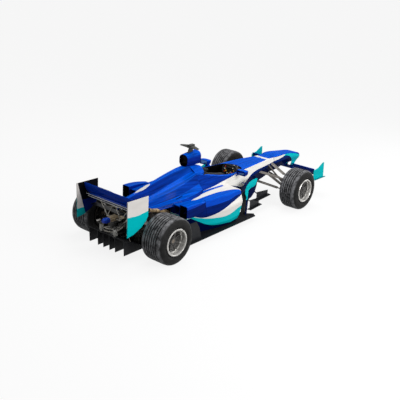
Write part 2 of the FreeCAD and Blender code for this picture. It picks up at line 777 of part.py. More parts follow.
node(both_sides(left_end_plate, "nose_end_plates"), "front_wing_end_plates")

# Pylons hang the wing from the nose
PYLON_Y = 56
PYLON_THICK = 12
pylon_outline = [
    # x and z from the wing's datum
    (120, -5),
    (235, -5),
    (270, 60),
    (360, 130),
    (190, 130),
    (120, -5),
]
pylon_points = [Vector(nose_wing_rear_x + x, PYLON_Y, wing_z + z) for x, z in pylon_outline]
pylon = Part.Face(Part.makePolygon(pylon_points)).extrude(Vector(0, PYLON_THICK, 0))
pylon = pylon.cut(main_plane)
nose = nose_outer.fuse([pylon, pylon.mirror(Vector(), Vector(0, 1, 0))])
node(shaped("nose_solid", nose), "nose_cone")

# ---------------------------------------------------------------- floor, plank and diffuser
FLOOR_FRONT = "(" + FRONT_AXLE + " - 1005)"
FLOOR_REAR = "(" + REAR_AXLE + " + 30)"
TYRE_CLEAR = "(" + REAR_AXLE + " + Sizes.tyre_radius + 40)"
floor_half_outline = [
    # x, half width, from the rear to the front
    (FLOOR_REAR, "Sizes.tail_floor_half"),
    (TYRE_CLEAR, "Sizes.tail_floor_half"),
    (TYRE_CLEAR + " + 40", "Sizes.floor_half"),
    (FLOOR_FRONT, "(Sizes.floor_half - 50)"),
    (FLOOR_FRONT + " + 60", "(Sizes.floor_half - 130)"),
    (FLOOR_FRONT + " - 60", "430"),
    (FLOOR_FRONT + " - 10", "250"),
    (FLOOR_FRONT + " + 390", "110"),
]
floor_outline = [(x, "-" + y) for x, y in floor_half_outline]
floor_outline += list(reversed(floor_half_outline))
node(padded_body("floor_panel", "top", floor_outline, "Sizes.floor_thick", FLOOR_BOTTOM), "floor")

plank_outline = [
    (FLOOR_REAR + " + 10", "-Sizes.plank_width / 2"),
    (FLOOR_FRONT + " + 200", "-Sizes.plank_width / 2"),
    (FLOOR_FRONT + " + 380", "-Sizes.plank_width / 2 + 60"),
    (FLOOR_FRONT + " + 380", "Sizes.plank_width / 2 - 60"),
    (FLOOR_FRONT + " + 200", "Sizes.plank_width / 2"),
    (FLOOR_REAR + " + 10", "Sizes.plank_width / 2"),
]
plank = padded_body(
    "plank_board", "top", plank_outline, "Sizes.plank_thick + Sizes.step_height", "Sizes.ride_height"
)
node(plank, "plank")

DIFFUSER_END = "(" + FLOOR_REAR + " - Sizes.diffuser_length)"
ROOF_END = "(" + FLOOR_BOTTOM + " + Sizes.diffuser_rise)"
diffuser_roof = padded_body(
    "diffuser_roof",
    "side",
    [
        (FLOOR_REAR + " - Sizes.seat_gap", FLOOR_BOTTOM),
        (FLOOR_REAR + " - Sizes.seat_gap", FLOOR_TOP),
        (DIFFUSER_END, ROOF_END + " + Sizes.floor_thick"),
        (DIFFUSER_END, ROOF_END),
    ],
    "2 * Sizes.diffuser_half",
    "-Sizes.diffuser_half",
)
diffuser_parts = [diffuser_roof]
for index, share in enumerate((-1.0, -0.5, -0.18, 0.18, 0.5, 1.0)):
    place = f"({share} * (Sizes.diffuser_half - Sizes.fin_thick / 2))"
    fin = padded_body(
        f"diffuser_fin_{index}",
        "side",
        [
            (FLOOR_REAR + " - 60", FLOOR_BOTTOM + " + 25"),
            (FLOOR_REAR + " - 60", FLOOR_TOP + " + 26"),
            (DIFFUSER_END, ROOF_END + " + Sizes.floor_thick / 2"),
            (DIFFUSER_END + " + 10", FLOOR_BOTTOM + " + 15"),
        ],
        "Sizes.fin_thick",
        f"{place} - Sizes.fin_thick / 2",
    )
    diffuser_parts.append(fin)
node(joined("diffuser_solid", "Part::MultiFuse", diffuser_parts), "diffuser")

# ---------------------------------------------------------------- boards, vanes and fences
board_y = 500
board = padded_body(
    "bargeboard",
    "side",
    [
        (FRONT_AXLE + " - 1095", FLOOR_TOP + " + Sizes.seat_gap"),
        (FRONT_AXLE + " - 1060", FLOOR_TOP + " + Sizes.seat_gap"),
        (FRONT_AXLE + " - 1040", "330"),
        (FRONT_AXLE + " - 965", "350"),
        (FRONT_AXLE + " - 885", "420"),
        (FRONT_AXLE + " - 845", "520"),
        (FRONT_AXLE + " - 838", "630"),
        (FRONT_AXLE + " - 885", "640"),
        (FRONT_AXLE + " - 985", "590"),
        (FRONT_AXLE + " - 1060", "500"),
        (FRONT_AXLE + " - 1095", "380"),
    ],
    "Sizes.board_thick",
    str(board_y),
)
VANES = [
    # rear x and front x from the front axle, half width, foot z, top z at the rear and front
    (-665, -300, 395, 190, 330, 280),
    (-870, -570, 420, 92, 250, 215),
]
vanes = []
for rear, front, y, foot, top_rear, top_front in VANES:
    rear_x = front_axle_x + rear
    front_x = front_axle_x + front
    corners = [
        Vector(rear_x, y, foot),
        Vector(front_x, y - 40, foot),
        Vector(front_x, y - 40, top_front),
        Vector(rear_x, y, top_rear),
    ]
    blade = Part.Face(Part.makePolygon(corners + [corners[0]])).extrude(Vector(0, 6, 0))
    foot_strip = [
        Vector(rear_x - 30, y - 25, foot),
        Vector(front_x + 60, y - 65, foot),
        Vector(front_x + 40, y + 5, foot),
        Vector(rear_x - 20, y + 45, foot),
    ]
    strip = Part.Face(Part.makePolygon(foot_strip + [foot_strip[0]])).extrude(Vector(0, 0, 6))
    stay = strut(Vector(rear_x + 60, y, top_rear - 60), Vector(rear_x + 60, 90, top_rear + 60), 30, 8)
    vanes.append(blade.fuse([strip, stay]).cut(tub_outer))
stay_root = Vector(front_axle_x - 940, -200, 540)
board_stay = strut(Vector(front_axle_x - 960, -board_y, 520), stay_root, 30, 8)
board_stay = board_stay.cut(tub_outer)
stay_obj = shaped("bargeboard_stay", board_stay)
board_set = joined("bargeboard_right", "Part::MultiFuse", [board, stay_obj])
node(both_sides(board_set, "bargeboard_pair"), "bargeboards")
vane_set = shaped("turning_vane_set", Part.makeCompound(vanes))
node(both_sides(vane_set, "turning_vane_pair"), "turning_vanes")

FENCE_FRONT = "(" + REAR_AXLE + " + 800)"
FENCE_REAR = "(" + REAR_AXLE + " + 435)"
fence = padded_body(
    "fence_plate",
    "side",
    [
        (FENCE_REAR, FLOOR_TOP + " + Sizes.seat_gap"),
        (FENCE_FRONT, FLOOR_TOP + " + Sizes.seat_gap"),
        (FENCE_FRONT + " - 60", "270"),
        (FENCE_FRONT + " - 130", "370"),
        (FENCE_REAR, "370"),
    ],
    "Sizes.fin_thick",
    "Sizes.floor_half - 60",
)
fence_ledge = padded_body(
    "fence_ledge",
    "top",
    [
        (FENCE_REAR, "-(Sizes.floor_half - 60)"),
        (FENCE_FRONT + " - 120", "-(Sizes.floor_half - 60)"),
        (FENCE_FRONT + " - 120", "-(Sizes.floor_half - 170)"),
        (FENCE_REAR, "-(Sizes.floor_half - 170)"),
    ],
    "Sizes.fin_thick",
    "250 + 0",
)
inner_fence = padded_body(
    "inner_fence",
    "side",
    [
        (FENCE_REAR, FLOOR_TOP + " + Sizes.seat_gap"),
        (FENCE_FRONT + " - 120", FLOOR_TOP + " + Sizes.seat_gap"),
        (FENCE_FRONT + " - 120", "254"),
        (FENCE_REAR, "254"),
    ],
    "Sizes.fin_thick",
    "Sizes.floor_half - 170",
)
fence_set = joined("fence_right", "Part::MultiFuse", [fence, fence_ledge, inner_fence])
node(both_sides(fence_set, "fence_pair"), "tyre_fences")

# ---------------------------------------------------------------- power train and tail
BULKHEAD = "(" + REAR_AXLE + " + Sizes.engine_bay)"
engine = primitive(
    "Part::Box",
    "engine_solid",
    x=BULKHEAD + " - Sizes.seat_gap - Sizes.engine_length",
    y="-190",
    z=FLOOR_TOP + " + Sizes.seat_gap",
    Length="Sizes.engine_length",
    Width="380",
    Height="410",
)
node(engine, "engine_block")
engine_rear_x = tub_rear_x - seat_gap - size("engine_length")

GEARBOX = [
    # x from the rear axle, half_width, bottom, top
    (None, 150, 90, 490),
    (0, 112, 106, 520),
    (-120, 96, 168, 560),
]
gearbox_rings = []
for place, half_width, bottom, top in GEARBOX:
    x = engine_rear_x - seat_gap if place is None else rear_axle_x + place
    half = [(half_width, top, 26), (half_width, bottom, 26)]
    gearbox_rings.append(ring(x, whole(half)))
gearbox_rear_x = rear_axle_x - 120
output = rod(
    Vector(rear_axle_x, -140, tyre_radius), Vector(rear_axle_x, 140, tyre_radius), 46
)
gearbox_whole = loft(gearbox_rings, straight=True)
gearbox = gearbox_whole.fuse(output)
socket_z = 375
socket = rod(
    Vector(gearbox_rear_x - 10, 0, socket_z),
    Vector(gearbox_rear_x + size("starter_depth"), 0, socket_z),
    size("starter_radius"),
)
gearbox = gearbox.cut(socket)
node(shaped("gearbox_solid", gearbox), "gearbox")

CRASH_Z = 500
crash_rings = []
for place, half_width, half_height in ((0, 56, 40), (250, 38, 32), (345, 38, 32), (380, 28, 22)):
    x = gearbox_rear_x - seat_gap - place
    half = [(half_width, CRASH_Z + half_height, 16), (half_width, CRASH_Z - half_height, 16)]
    crash_rings.append(ring(x, whole(half)))
node(shaped("crash_solid", loft(crash_rings, straight=True)), "rear_crash_structure")

# Exhausts sweep back from the engine and out beside the gearbox
pipe_radius = 34
pipe_path = [
    Vector(engine_rear_x + 60, 190, 380),
    Vector(engine_rear_x + 60, 236, 400),
    Vector(engine_rear_x - 60, 262, 460),
    Vector(engine_rear_x - 190, 262, 530),
]
pipes = []
for start, end in zip(pipe_path, pipe_path[1:]):
    pipes.append(rod(start, end, pipe_radius))
for joint in pipe_path[1:-1]:
    pipes.append(ball(joint, pipe_radius))
end_way = (pipe_path[-1] - pipe_path[-2]).normalize()
pipe_bore = rod(pipe_path[-1] - end_way * 100, pipe_path[-1] + end_way * 9, pipe_radius - 4)
exhaust = pipes[0].fuse(pipes[1:]).cut([pipe_bore, block(-FAR, FAR, 0, 190 + seat_gap, 0, FAR)])
node(both_sides(shaped("exhaust_left", exhaust), "exhaust_pair"), "exhausts")

radiator = primitive(
    "Part::Box",
    "radiator_left",
    x=BULKHEAD + f" + {0.28 * tub_length - inlet_depth:.1f}",
    y="340",
    z="240",
    Length="46",
    Width="200",
    Height="310",
)
node(both_sides(radiator, "radiator_pair"), "radiators")

# ---------------------------------------------------------------- rear wing
PLATE_TOP = "Sizes.wing_top"
tail_plate = padded_body(
    "tail_end_plate",
    "side",
    [
        (TAIL, PLATE_TOP),
        (TAIL, "425"),
        (TAIL + " + 110", "446"),
        (TAIL + " + 235", "500"),
        (TAIL + " + 325", "566"),
        (TAIL + " + Sizes.wing_chord", "640"),
        (TAIL + " + Sizes.wing_chord", PLATE_TOP),
    ],
    "Sizes.end_plate_thick",
    "Sizes.wing_span / 2 - Sizes.end_plate_thick",
)
node(both_sides(tail_plate, "tail_end_plates"), "rear_wing_end_plates")
tail_half = size("wing_span") / 2 - size("end_plate_thick") - seat_gap
top_z = size("wing_top")
TAIL_WINGS = [
    # name, leading edge x and drop from the plates' top, trailing edge x and drop, camber, thick
    ("rear_wing_main", 350, 238, 182, 214, 12, 26),
    ("rear_wing_main", 246, 196, 158, 172, 7, 14),
    ("rear_wing_flap", 196, 158, 128, 8, 12, 16),
]
wing_elements = {}
for name, le_x, le_drop, te_x, te_drop, camber, thick in TAIL_WINGS:
    section = aerofoil(tail_x + le_x, top_z - le_drop, tail_x + te_x, top_z - te_drop, camber, thick)
    wing_elements.setdefault(name, []).append(spanned(section, -tail_half, tail_half))
for name, elements in wing_elements.items():
    node(shaped(name + "_solid", Part.makeCompound(elements)), name)
beam_section = aerofoil(tail_x + 335, top_z - 352, tail_x + 240, top_z - 346, 5, 18)
beam = spanned(beam_section, -tail_half, tail_half)
beam_post = block(tail_x + 262, tail_x + 325, -22, 22, CRASH_Z + 20, top_z - 352)
beam_post = beam_post.cut(loft(crash_rings, straight=True))
beam_post = max(beam_post.Solids, key=lambda solid: solid.CenterOfMass.z)
beam = beam.fuse(beam_post)
node(shaped("beam_solid", beam), "rear_wing_beam")

# ---------------------------------------------------------------- suspension
arm_chord = size("arm_chord")
arm_thick = size("arm_thick")
ball_radius = size("ball_radius")
stud_radius = size("stud_radius")
spread = size("ball_spread")
rod_radius = size("rod_radius")


def stud_hole(x, y):
    """What the studs in the ball joints need at one corner of the car."""
    return rod(Vector(x, y, 0), Vector(x, y, 2 * tyre_radius), stud_radius + size("axle_gap"))


FAIRING_START = 0.36  # share of an arm's length, from its ball joint


def wishbone(joint, mounts, clear):
    """Two tubes from a ball joint, each in a streamlined fairing from the wheel's edge inwards."""
    arms = []
    for mount in mounts:
        arms.append(strut(joint, mount, arm_chord, arm_thick))
        fairing_start = joint + (mount - joint) * FAIRING_START
        arms.append(strut(fairing_start, mount, size("fairing_chord"), size("fairing_thick")))
    arms.append(ball(joint, ball_radius))
    return arms[0].fuse(arms[1:]).cut([clear, stud_hole(joint.x, joint.y)])


front_upper = Vector(front_axle_x, front_kingpin_y, tyre_radius + spread)
front_lower = Vector(front_axle_x, front_kingpin_y, tyre_radius - spread)
rear_upper = Vector(rear_axle_x, rear_kingpin_y, tyre_radius + spread)
rear_lower = Vector(rear_axle_x, rear_kingpin_y, tyre_radius - spread)
ROD_TOPS = {"front": Vector(front_axle_x - 65, 90, 668), "rear": Vector(rear_axle_x + 120, 60, 505)}
WISHBONES = [
    # name, ball joint, mounts on the car's centre structure, what the arms end against
    ("front_upper", front_upper, [(front_axle_x - 365, 150, 572), (front_axle_x + 65, 100, 640)], tub_outer),
    ("front_lower", front_lower, [(front_axle_x - 280, 40, 372), (front_axle_x + 25, 40, 462)], tub_outer),
    ("rear_upper", rear_upper, [(rear_axle_x + 285, 60, 470), (rear_axle_x - 65, 40, 470)], gearbox_whole),
    ("rear_lower", rear_lower, [(rear_axle_x + 335, 60, 190), (rear_axle_x - 20, 40, 215)], gearbox_whole),
]
for name, joint, mounts, against in WISHBONES:
    arms = wishbone(joint, [Vector(*mount) for mount in mounts], against)
    arms = max(arms.Solids, key=lambda solid: solid.Volume)
    node(both_sides(shaped(name + "_arms", arms), name + "_pair"), name + "_wishbones")
    if name.endswith("lower"):
        end = name.split("_")[0]
        top = ROD_TOPS[end]
        foot = joint + (top - joint) * 0.16 + Vector(0, 0, -6)
        push_rod = rod(foot, top, rod_radius).cut([against, arms])
        push_rod = max(push_rod.Solids, key=lambda solid: solid.Volume)
        node(both_sides(shaped(end + "_push_rod", push_rod), end + "_push_rods"), end + "_pushrods")


def upright(axle_x, half_track, kingpin_y, steered):
    """A left upright: its block between the ball joints, its studs and its caliper."""
    half_length = size("upright_half")
    gap = 5
    reach = spread - ball_radius - gap
    middle = Vector(axle_x, half_track, tyre_radius)
    kingpin = Vector(axle_x, kingpin_y, tyre_radius)
    carrier = block(
        axle_x - half_length,
        axle_x + half_length,
        kingpin_y - 28,
        kingpin_y + 28,
        tyre_radius - reach,
        tyre_radius + reach,
    )
    tall = Vector(0, 0, spread + ball_radius)
    parts = [carrier, rod(kingpin - tall, kingpin + tall, stud_radius)]
    disc_in = half_track - 25
    caliper_in = disc_in - size("disc_gap") - 24
    caliper_out = disc_in + size("disc_thick") + size("disc_gap") + 16
    span = caliper_out - caliper_in
    outer = size("bead_radius") - size("rim_wall") - 8
    sector = Part.makeCylinder(outer, span, Vector(axle_x, caliper_in, tyre_radius), Vector(0, 1, 0), 60)
    core_end = Vector(axle_x, caliper_in - span, tyre_radius)
    core = Part.makeCylinder(96, 3 * span, core_end, Vector(0, 1, 0))
    sector.rotate(middle, Vector(0, 1, 0), 240)
    disc_room = Part.makeCylinder(
        size("disc_radius") + 3,
        size("disc_thick") + 2 * size("disc_gap"),
        Vector(axle_x, disc_in - size("disc_gap"), tyre_radius),
        Vector(0, 1, 0),
    )
    caliper = sector.cut([core, disc_room])
    bracket = block(
        axle_x - 118, axle_x - 20, kingpin_y + 6, caliper_in + 4, tyre_radius - 34, tyre_radius + 34
    )
    parts += [caliper, bracket]
    if steered:
        arm_z = rod_end_z - 26
        arm_end = Vector(rack_x, rod_end_y, arm_z)
        arm_root = Vector(axle_x, kingpin_y, arm_z)
        parts.append(strut(arm_root, arm_end, 16, 26))
        parts.append(rod(arm_end - Vector(0, 0, 8), arm_end + Vector(0, 0, 8), 13))
        parts.append(rod(arm_end, Vector(rack_x, rod_end_y, rod_end_z + 12), 5))
        parts.append(rod(kingpin, middle + Vector(0, size("hub_out_front"), 0), size("axle_radius")))
        return parts[0].fuse(parts[1:])
    bore = rod(kingpin - Vector(0, 90, 0), middle, size("axle_radius") + size("axle_gap"))
    return parts[0].fuse(parts[1:]).cut(bore)


left_upright = upright(front_axle_x, front_half_track, front_kingpin_y, True)
front_upright = shaped("front_upright_solid", left_upright)
node(front_upright, "front_upright_left")
node(mirrored(front_upright, "front_upright_mirror"), "front_upright_right")
left_upright = upright(rear_axle_x, rear_half_track, rear_kingpin_y, False)
rear_upright = shaped("rear_upright_solid", left_upright)
node(both_sides(rear_upright, "rear_upright_pair"), "rear_uprights")

# Track rods: each turns on its steering arm, and its inner end is free in the tub
track_rod = rod(rod_outer, rack_end, rod_radius).fuse(ball(rod_outer, 14))
track_rod = track_rod.cut(rod(rod_outer - Vector(0, 0, 30), rod_outer + Vector(0, 0, 30), 5.4))
track_rod_left = shaped("track_rod_solid", track_rod)
node(track_rod_left, "track_rod_left")
node(mirrored(track_rod_left, "track_rod_mirror"), "track_rod_right")

# ---------------------------------------------------------------- wheels
ENDS = [
    # end, axle's x, half track, tyre width, dish
    ("front", FRONT_AXLE, "Sizes.front_track / 2", "Sizes.front_tyre_width", "Sizes.front_dish"),
    ("rear", REAR_AXLE, "Sizes.rear_track / 2", "Sizes.rear_tyre_width", "Sizes.rear_dish"),
]
for end, axle, half_track, width, dish in ENDS:
    bead = f"({width} / 2 - Sizes.bead_inset)"
    rise = "(Sizes.tyre_radius - Sizes.flange_radius)"
    half_section = [
        # across the tyre and from the axle, from the bead to the tread
        (bead + " - Sizes.seat_gap", "Sizes.bead_radius + Sizes.seat_gap"),
        (bead + " - Sizes.seat_gap", "Sizes.flange_radius + 2"),
        (f"{width} / 2 - 3", f"Sizes.flange_radius + 0.2 * {rise}"),
        (f"{width} / 2", f"Sizes.flange_radius + 0.45 * {rise}"),
        (f"{width} / 2 - 6", f"Sizes.flange_radius + 0.7 * {rise}"),
        (f"{width} / 2 - 24", f"Sizes.flange_radius + 0.9 * {rise}"),
        (f"{width} / 2 - 56", f"Sizes.tyre_radius - 2"),
        (f"{width} * 0.12", "Sizes.tyre_radius"),
    ]
    section = half_section + [("-(" + y + ")", z) for y, z in reversed(half_section)]
    tyre = turned_body(f"{end}_tyre", section)
    barrel_in = "(Sizes.bead_radius - Sizes.rim_wall)"
    face_out = f"({bead} - {dish})"
    face_in = f"({face_out} - Sizes.spoke_thick)"
    rim = turned_body(
        f"{end}_rim",
        [
            (f"{bead} + 9", "Sizes.flange_radius - 3"),
            (f"{bead} + 9", barrel_in + " + 4"),
            (f"{bead} - 12", barrel_in),
            (face_out, barrel_in),
            (f"{face_out} - 10", "Sizes.hub_radius"),
            (f"{face_out} + 6", "Sizes.hub_radius - 6"),
            (f"{face_out} + 6", "Sizes.axle_radius + Sizes.axle_gap"),
            ("-25", "Sizes.axle_radius + Sizes.axle_gap"),
            ("-25", "Sizes.hub_radius"),
            (f"{face_in} - 10", "Sizes.hub_radius"),
            (face_in, barrel_in),
            (f"-{bead}", barrel_in),
            (f"-{bead} - 7", "Sizes.flange_radius - 6"),
            (f"-{bead} - 7", "Sizes.flange_radius"),
            (f"-{bead}", "Sizes.flange_radius"),
            (f"-{bead}", "Sizes.bead_radius"),
            (bead, "Sizes.bead_radius"),
            (bead, "Sizes.flange_radius"),
            (f"{bead} + 6", "Sizes.flange_radius"),
        ],
    )
    window_out = "(Sizes.bead_radius - Sizes.rim_wall - 9)"
    window_in = "(Sizes.hub_radius + 8)"
    slope = "tan(180 / Sizes.spoke_count)"
    windows = outline(
        rim,
        f"{end}_window",
        "side",
        [
            (f"-({window_out} * {slope} - Sizes.spoke_width / 2)", window_out),
            (f"-({window_in} * {slope} - Sizes.spoke_width / 2 + 1)", window_in),
            (f"{window_in} * {slope} - Sizes.spoke_width / 2 + 1", window_in),
            (f"{window_out} * {slope} - Sizes.spoke_width / 2", window_out),
        ],
        f"-({face_out} + 20)",
    )
    cut = rim.newObject("PartDesign::Pocket", f"{end}_window_cut")
    cut.Profile = windows
    cut.setExpression("Length", "Sizes.spoke_thick + 50")
    cut.Reversed = True
    ways = rim.newObject("PartDesign::PolarPattern", f"{end}_windows")
    ways.Originals = [cut]
    ways.Axis = (next(f for f in rim.Origin.OriginFeatures if f.Role == "Y_Axis"), [""])
    ways.Angle = 360
    ways.setExpression("Occurrences", "Sizes.spoke_count")
    rim.Tip = ways
    disc = turned_body(
        f"{end}_disc",
        [
            ("-25", "Sizes.hub_radius + Sizes.seat_gap"),
            ("-25 + Sizes.disc_thick", "Sizes.hub_radius + Sizes.seat_gap"),
            ("-25 + Sizes.disc_thick", "Sizes.disc_radius"),
            ("-25", "Sizes.disc_radius"),
        ],
    )
    for body in (tyre, rim, disc):
        body.setExpression(".Placement.Base.x", axle)
        body.setExpression(".Placement.Base.y", half_track)
        body.setExpression(".Placement.Base.z", "Sizes.tyre_radius")
    for body, label in ((tyre, "tyre"), (rim, "rim"), (disc, "brake_disc")):
        node(body, f"{end}_{label}_left")
        node(mirrored(body, f"{end}_{label}_mirror"), f"{end}_{label}_right")

shaft_start = Vector(rear_axle_x, 140 + seat_gap, tyre_radius)
shaft_step = Vector(rear_axle_x, rear_kingpin_y - 40, tyre_radius)
shaft_end = Vector(rear_axle_x, rear_half_track + size("hub_out_rear"), tyre_radius)
drive_shaft = rod(shaft_start, shaft_step, size("shaft_radius"))
drive_shaft = drive_shaft.fuse(rod(shaft_step, shaft_end, size("axle_radius")))
shaft_left = shaped("drive_shaft_solid", drive_shaft)
node(shaft_left, "driveshaft_left")
node(mirrored(shaft_left, "drive_shaft_mirror"), "driveshaft_right")

# ---------------------------------------------------------------- write the sub-parts
doc.recompute()
os.makedirs("parts", exist_ok=True)
for obj in doc.Objects:
    if "Invalid" in obj.State or "Error" in obj.State:
        raise RuntimeError(f"{obj.Name} failed: {obj.State}")
for obj in nodes:
    shape = obj.Shape
    if shape.isNull() or not shape.isValid() or not shape.Solids:
        raise RuntimeError(f"{obj.Label} has no valid solid")
    shape.exportStep(f"parts/{obj.Label}.step")
    print(obj.Label, len(shape.Solids), round(shape.Volume / 1e6, 2), "litres")
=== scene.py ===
import math

import bpy
from mathutils import Matrix, Vector


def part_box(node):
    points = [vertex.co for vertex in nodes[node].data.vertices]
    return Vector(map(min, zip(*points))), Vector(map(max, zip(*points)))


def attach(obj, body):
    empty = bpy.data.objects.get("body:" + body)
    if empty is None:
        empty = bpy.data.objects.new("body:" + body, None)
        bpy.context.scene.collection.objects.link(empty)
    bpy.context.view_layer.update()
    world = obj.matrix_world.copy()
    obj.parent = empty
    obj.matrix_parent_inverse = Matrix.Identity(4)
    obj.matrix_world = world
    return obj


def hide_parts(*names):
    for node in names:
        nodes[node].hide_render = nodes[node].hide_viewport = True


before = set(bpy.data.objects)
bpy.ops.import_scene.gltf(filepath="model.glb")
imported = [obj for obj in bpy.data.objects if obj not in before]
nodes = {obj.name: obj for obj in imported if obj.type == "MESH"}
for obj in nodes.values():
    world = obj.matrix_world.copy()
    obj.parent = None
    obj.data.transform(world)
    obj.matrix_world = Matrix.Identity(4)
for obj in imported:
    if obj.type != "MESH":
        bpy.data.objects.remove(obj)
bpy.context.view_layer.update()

# ---------------------------------------- studio
# The car stands on a plain pale floor in soft light. The camera looks down
# over its right rear corner, at a long lens.


def tint(code):
    """Turns an sRGB hex colour into the linear colour that a shader takes."""
    shares = [int(code[start:start + 2], 16) / 255 for start in (1, 3, 5)]
    levels = [share / 12.92 if share <= 0.04045 else ((share + 0.055) / 1.055) ** 2.4 for share in shares]
    return levels + [1.0]


def add(tree, kind, settings=None, inputs=None):
    """Adds a node; inputs, by name or place, are links where they are sockets."""
    node = tree.nodes.new("ShaderNode" + kind)
    for name, value in (settings or {}).items():
        setattr(node, name, value)
    for name, value in (inputs or {}).items():
        if isinstance(value, bpy.types.NodeSocket):
            tree.links.new(value, node.inputs[name])
        else:
            node.inputs[name].default_value = value
    return node


def background_share(tree):
    """1 for the rays that see the backdrop, as the camera's, a mirror's and a window's do."""
    path = add(tree, "LightPath")
    seen = path.outputs["Is Camera Ray"]
    for ray in ("Is Glossy Ray", "Is Transmission Ray"):
        either = {0: seen, 1: path.outputs[ray]}
        seen = add(tree, "Math", {"operation": "MAXIMUM"}, either).outputs[0]
    return seen


bpy.ops.object.select_all(action="DESELECT")
FLOOR_SIZE = 300
bpy.ops.mesh.primitive_plane_add(size=FLOOR_SIZE)
floor = bpy.context.object
floor.name = "studio_floor"
paper = bpy.data.materials.new("matt_floor_paint")
paper.use_nodes = True
tree = paper.node_tree
tree.nodes.remove(tree.nodes["Principled BSDF"])
matt = add(tree, "BsdfDiffuse", None, {"Color": tint("#f2f2f2")})
glow = add(tree, "Emission", None, {"Color": tint("#ffffff"), "Strength": background_share(tree)})
LIFT = 0.86  # how much of the floor's white is its own, so that the shadow stays pale
both = add(tree, "MixShader", None, {0: LIFT, 1: matt.outputs[0], 2: glow.outputs[0]})
tree.links.new(both.outputs[0], tree.nodes["Material Output"].inputs["Surface"])
floor.data.materials.append(paper)

world = bpy.data.worlds.new("soft_tent")
bpy.context.scene.world = world
world.use_nodes = True
tree = world.node_tree
SKY_LEVEL = 0.5
span = {"Value": background_share(tree), "To Min": SKY_LEVEL, "To Max": 1.0}
level = add(tree, "MapRange", None, span)
tree.nodes["Background"].inputs["Color"].default_value = tint("#ffffff")
tree.links.new(level.outputs["Result"], tree.nodes["Background"].inputs["Strength"])

LAMPS = [
    # name, place, aimed at, side in metres, watts
    ("overhead_lamp", (1.0, 0.5, 6.5), (0, 0, 0.4), 4.0, 170),
    ("side_lamp", (-0.5, -7.5, 3.2), (-0.3, 0, 0.4), 4.0, 420),
    ("front_lamp", (6.5, -2.5, 3.0), (0.5, 0, 0.4), 3.0, 90),
]
for name, place, aim, side, watts in LAMPS:
    bpy.ops.object.light_add(type="AREA", location=place)
    lamp = bpy.context.object
    lamp.name = name
    lamp.data.size = side
    lamp.data.energy = watts
    lamp.rotation_euler = (Vector(aim) - Vector(place)).to_track_quat("-Z", "Y").to_euler()

CAMERA_PLACE = Vector((-7.873, -6.244, 3.898))
HEADING, LOOK_DOWN, ROLL = math.radians(39.68), math.radians(20.11), math.radians(3.06)
bpy.ops.object.camera_add()
camera = bpy.context.object
camera.name = "studio_camera"
camera.matrix_world = (
    Matrix.Translation(CAMERA_PLACE)
    @ Matrix.Rotation(HEADING - math.pi / 2, 4, "Z")
    @ Matrix.Rotation(math.pi / 2 - LOOK_DOWN, 4, "X")
    @ Matrix.Rotation(ROLL, 4, "Z")
)
LENS, SENSOR, FARTHEST = 60.48, 36, 500
camera.data.lens = LENS
camera.data.sensor_width = SENSOR
camera.data.clip_end = FARTHEST
bpy.context.scene.camera = camera
bpy.context.scene.view_settings.view_transform = "Standard"

# ---------------------------------------- monocoque and nose
# Moulded carbon composite, sprayed with two-pack enamel and lacquered. The blue deck
# is masked along its edge, over a white flank that turns turquoise at the tip. The
# blue and navy are painted lighter on faces that look up and darker on upright ones, a
# painted highlight and painted shade, with painted highlight streaks. The cockpit's
# inside is near-black bare carbon that also stands as painted shade, from a black edge
# around the opening.
# The sky blue and the navy top are painted highlights and the shade blue is a painted shade, laid on by
# which way each face looks.
SKY_LIT_BLUE, SHADE_BLUE, NAVY, LIT_NAVY = "#0450c4", "#042078", "#020f3c", "#0a2668"
TURQUOISE, OFF_WHITE, STONE, CARBON_AND_SHADE_BLACK = "#04b6bc", "#e2dfda", "#dcd8d4", "#0c0c0e"


def finish_of(name):
    """A new material with its node tree, its shader and the place on the piece in metres."""
    material = bpy.data.materials.new(name)
    material.use_nodes = True
    tree = material.node_tree
    place = add(tree, "TexCoord").outputs["Object"]
    return material, tree, tree.nodes["Principled BSDF"], place


def axes(tree, place):
    """The places along the car, out from its middle on either side, and up."""
    parts = add(tree, "SeparateXYZ", None, {0: place})
    out = add(tree, "Math", {"operation": "ABSOLUTE"}, {0: parts.outputs["Y"]})
    return parts.outputs["X"], out.outputs[0], parts.outputs["Z"]


CAR_REAR, CAR_LENGTH = -2.4, 4.8


def masked_edge(tree, along, points):
    """A taped paint line that runs along the car: its height or width at each place, in metres."""
    span = {"Value": along, "From Min": CAR_REAR, "From Max": CAR_REAR + CAR_LENGTH}
    share = add(tree, "MapRange", None, span)
    tape = add(tree, "FloatCurve", None, {"Value": share.outputs["Result"]})
    line = tape.mapping.curves[0]
    spots = [((x - CAR_REAR) / CAR_LENGTH, width) for x, width in points]
    line.points[0].location = spots[0]
    line.points[1].location = spots[-1]
    for spot in spots[1:-1]:
        line.points.new(*spot)
    for spot in line.points:
        spot.handle_type = "AUTO_CLAMPED"
    tape.mapping.update()
    return tape.outputs[0]


def where(tree, *tests):
    """1 where all tests hold: (value, "<" or ">", edge), (value, "near", middle, reach), or a mask."""
    mask = 1.0
    for test in tests:
        if isinstance(test, tuple):
            value, sign, *edges = test
            operation = {"<": "LESS_THAN", ">": "GREATER_THAN", "near": "COMPARE"}[sign]
            sides = dict(enumerate([value, *edges]))
            test = add(tree, "Math", {"operation": operation}, sides).outputs[0]
        mask = add(tree, "Math", {"operation": "MULTIPLY"}, {0: mask, 1: test}).outputs[0]
    return mask


def painted(tree, base, *coats):
    """Coats over a base: each is its paint, then the tests that all hold where it lies."""
    for paint, *tests in coats:
        ends = {0: where(tree, *tests), 6: base, 7: paint}
        base = add(tree, "Mix", {"data_type": "RGBA"}, ends).outputs[2]
    return base


TURNED_IN = -0.012


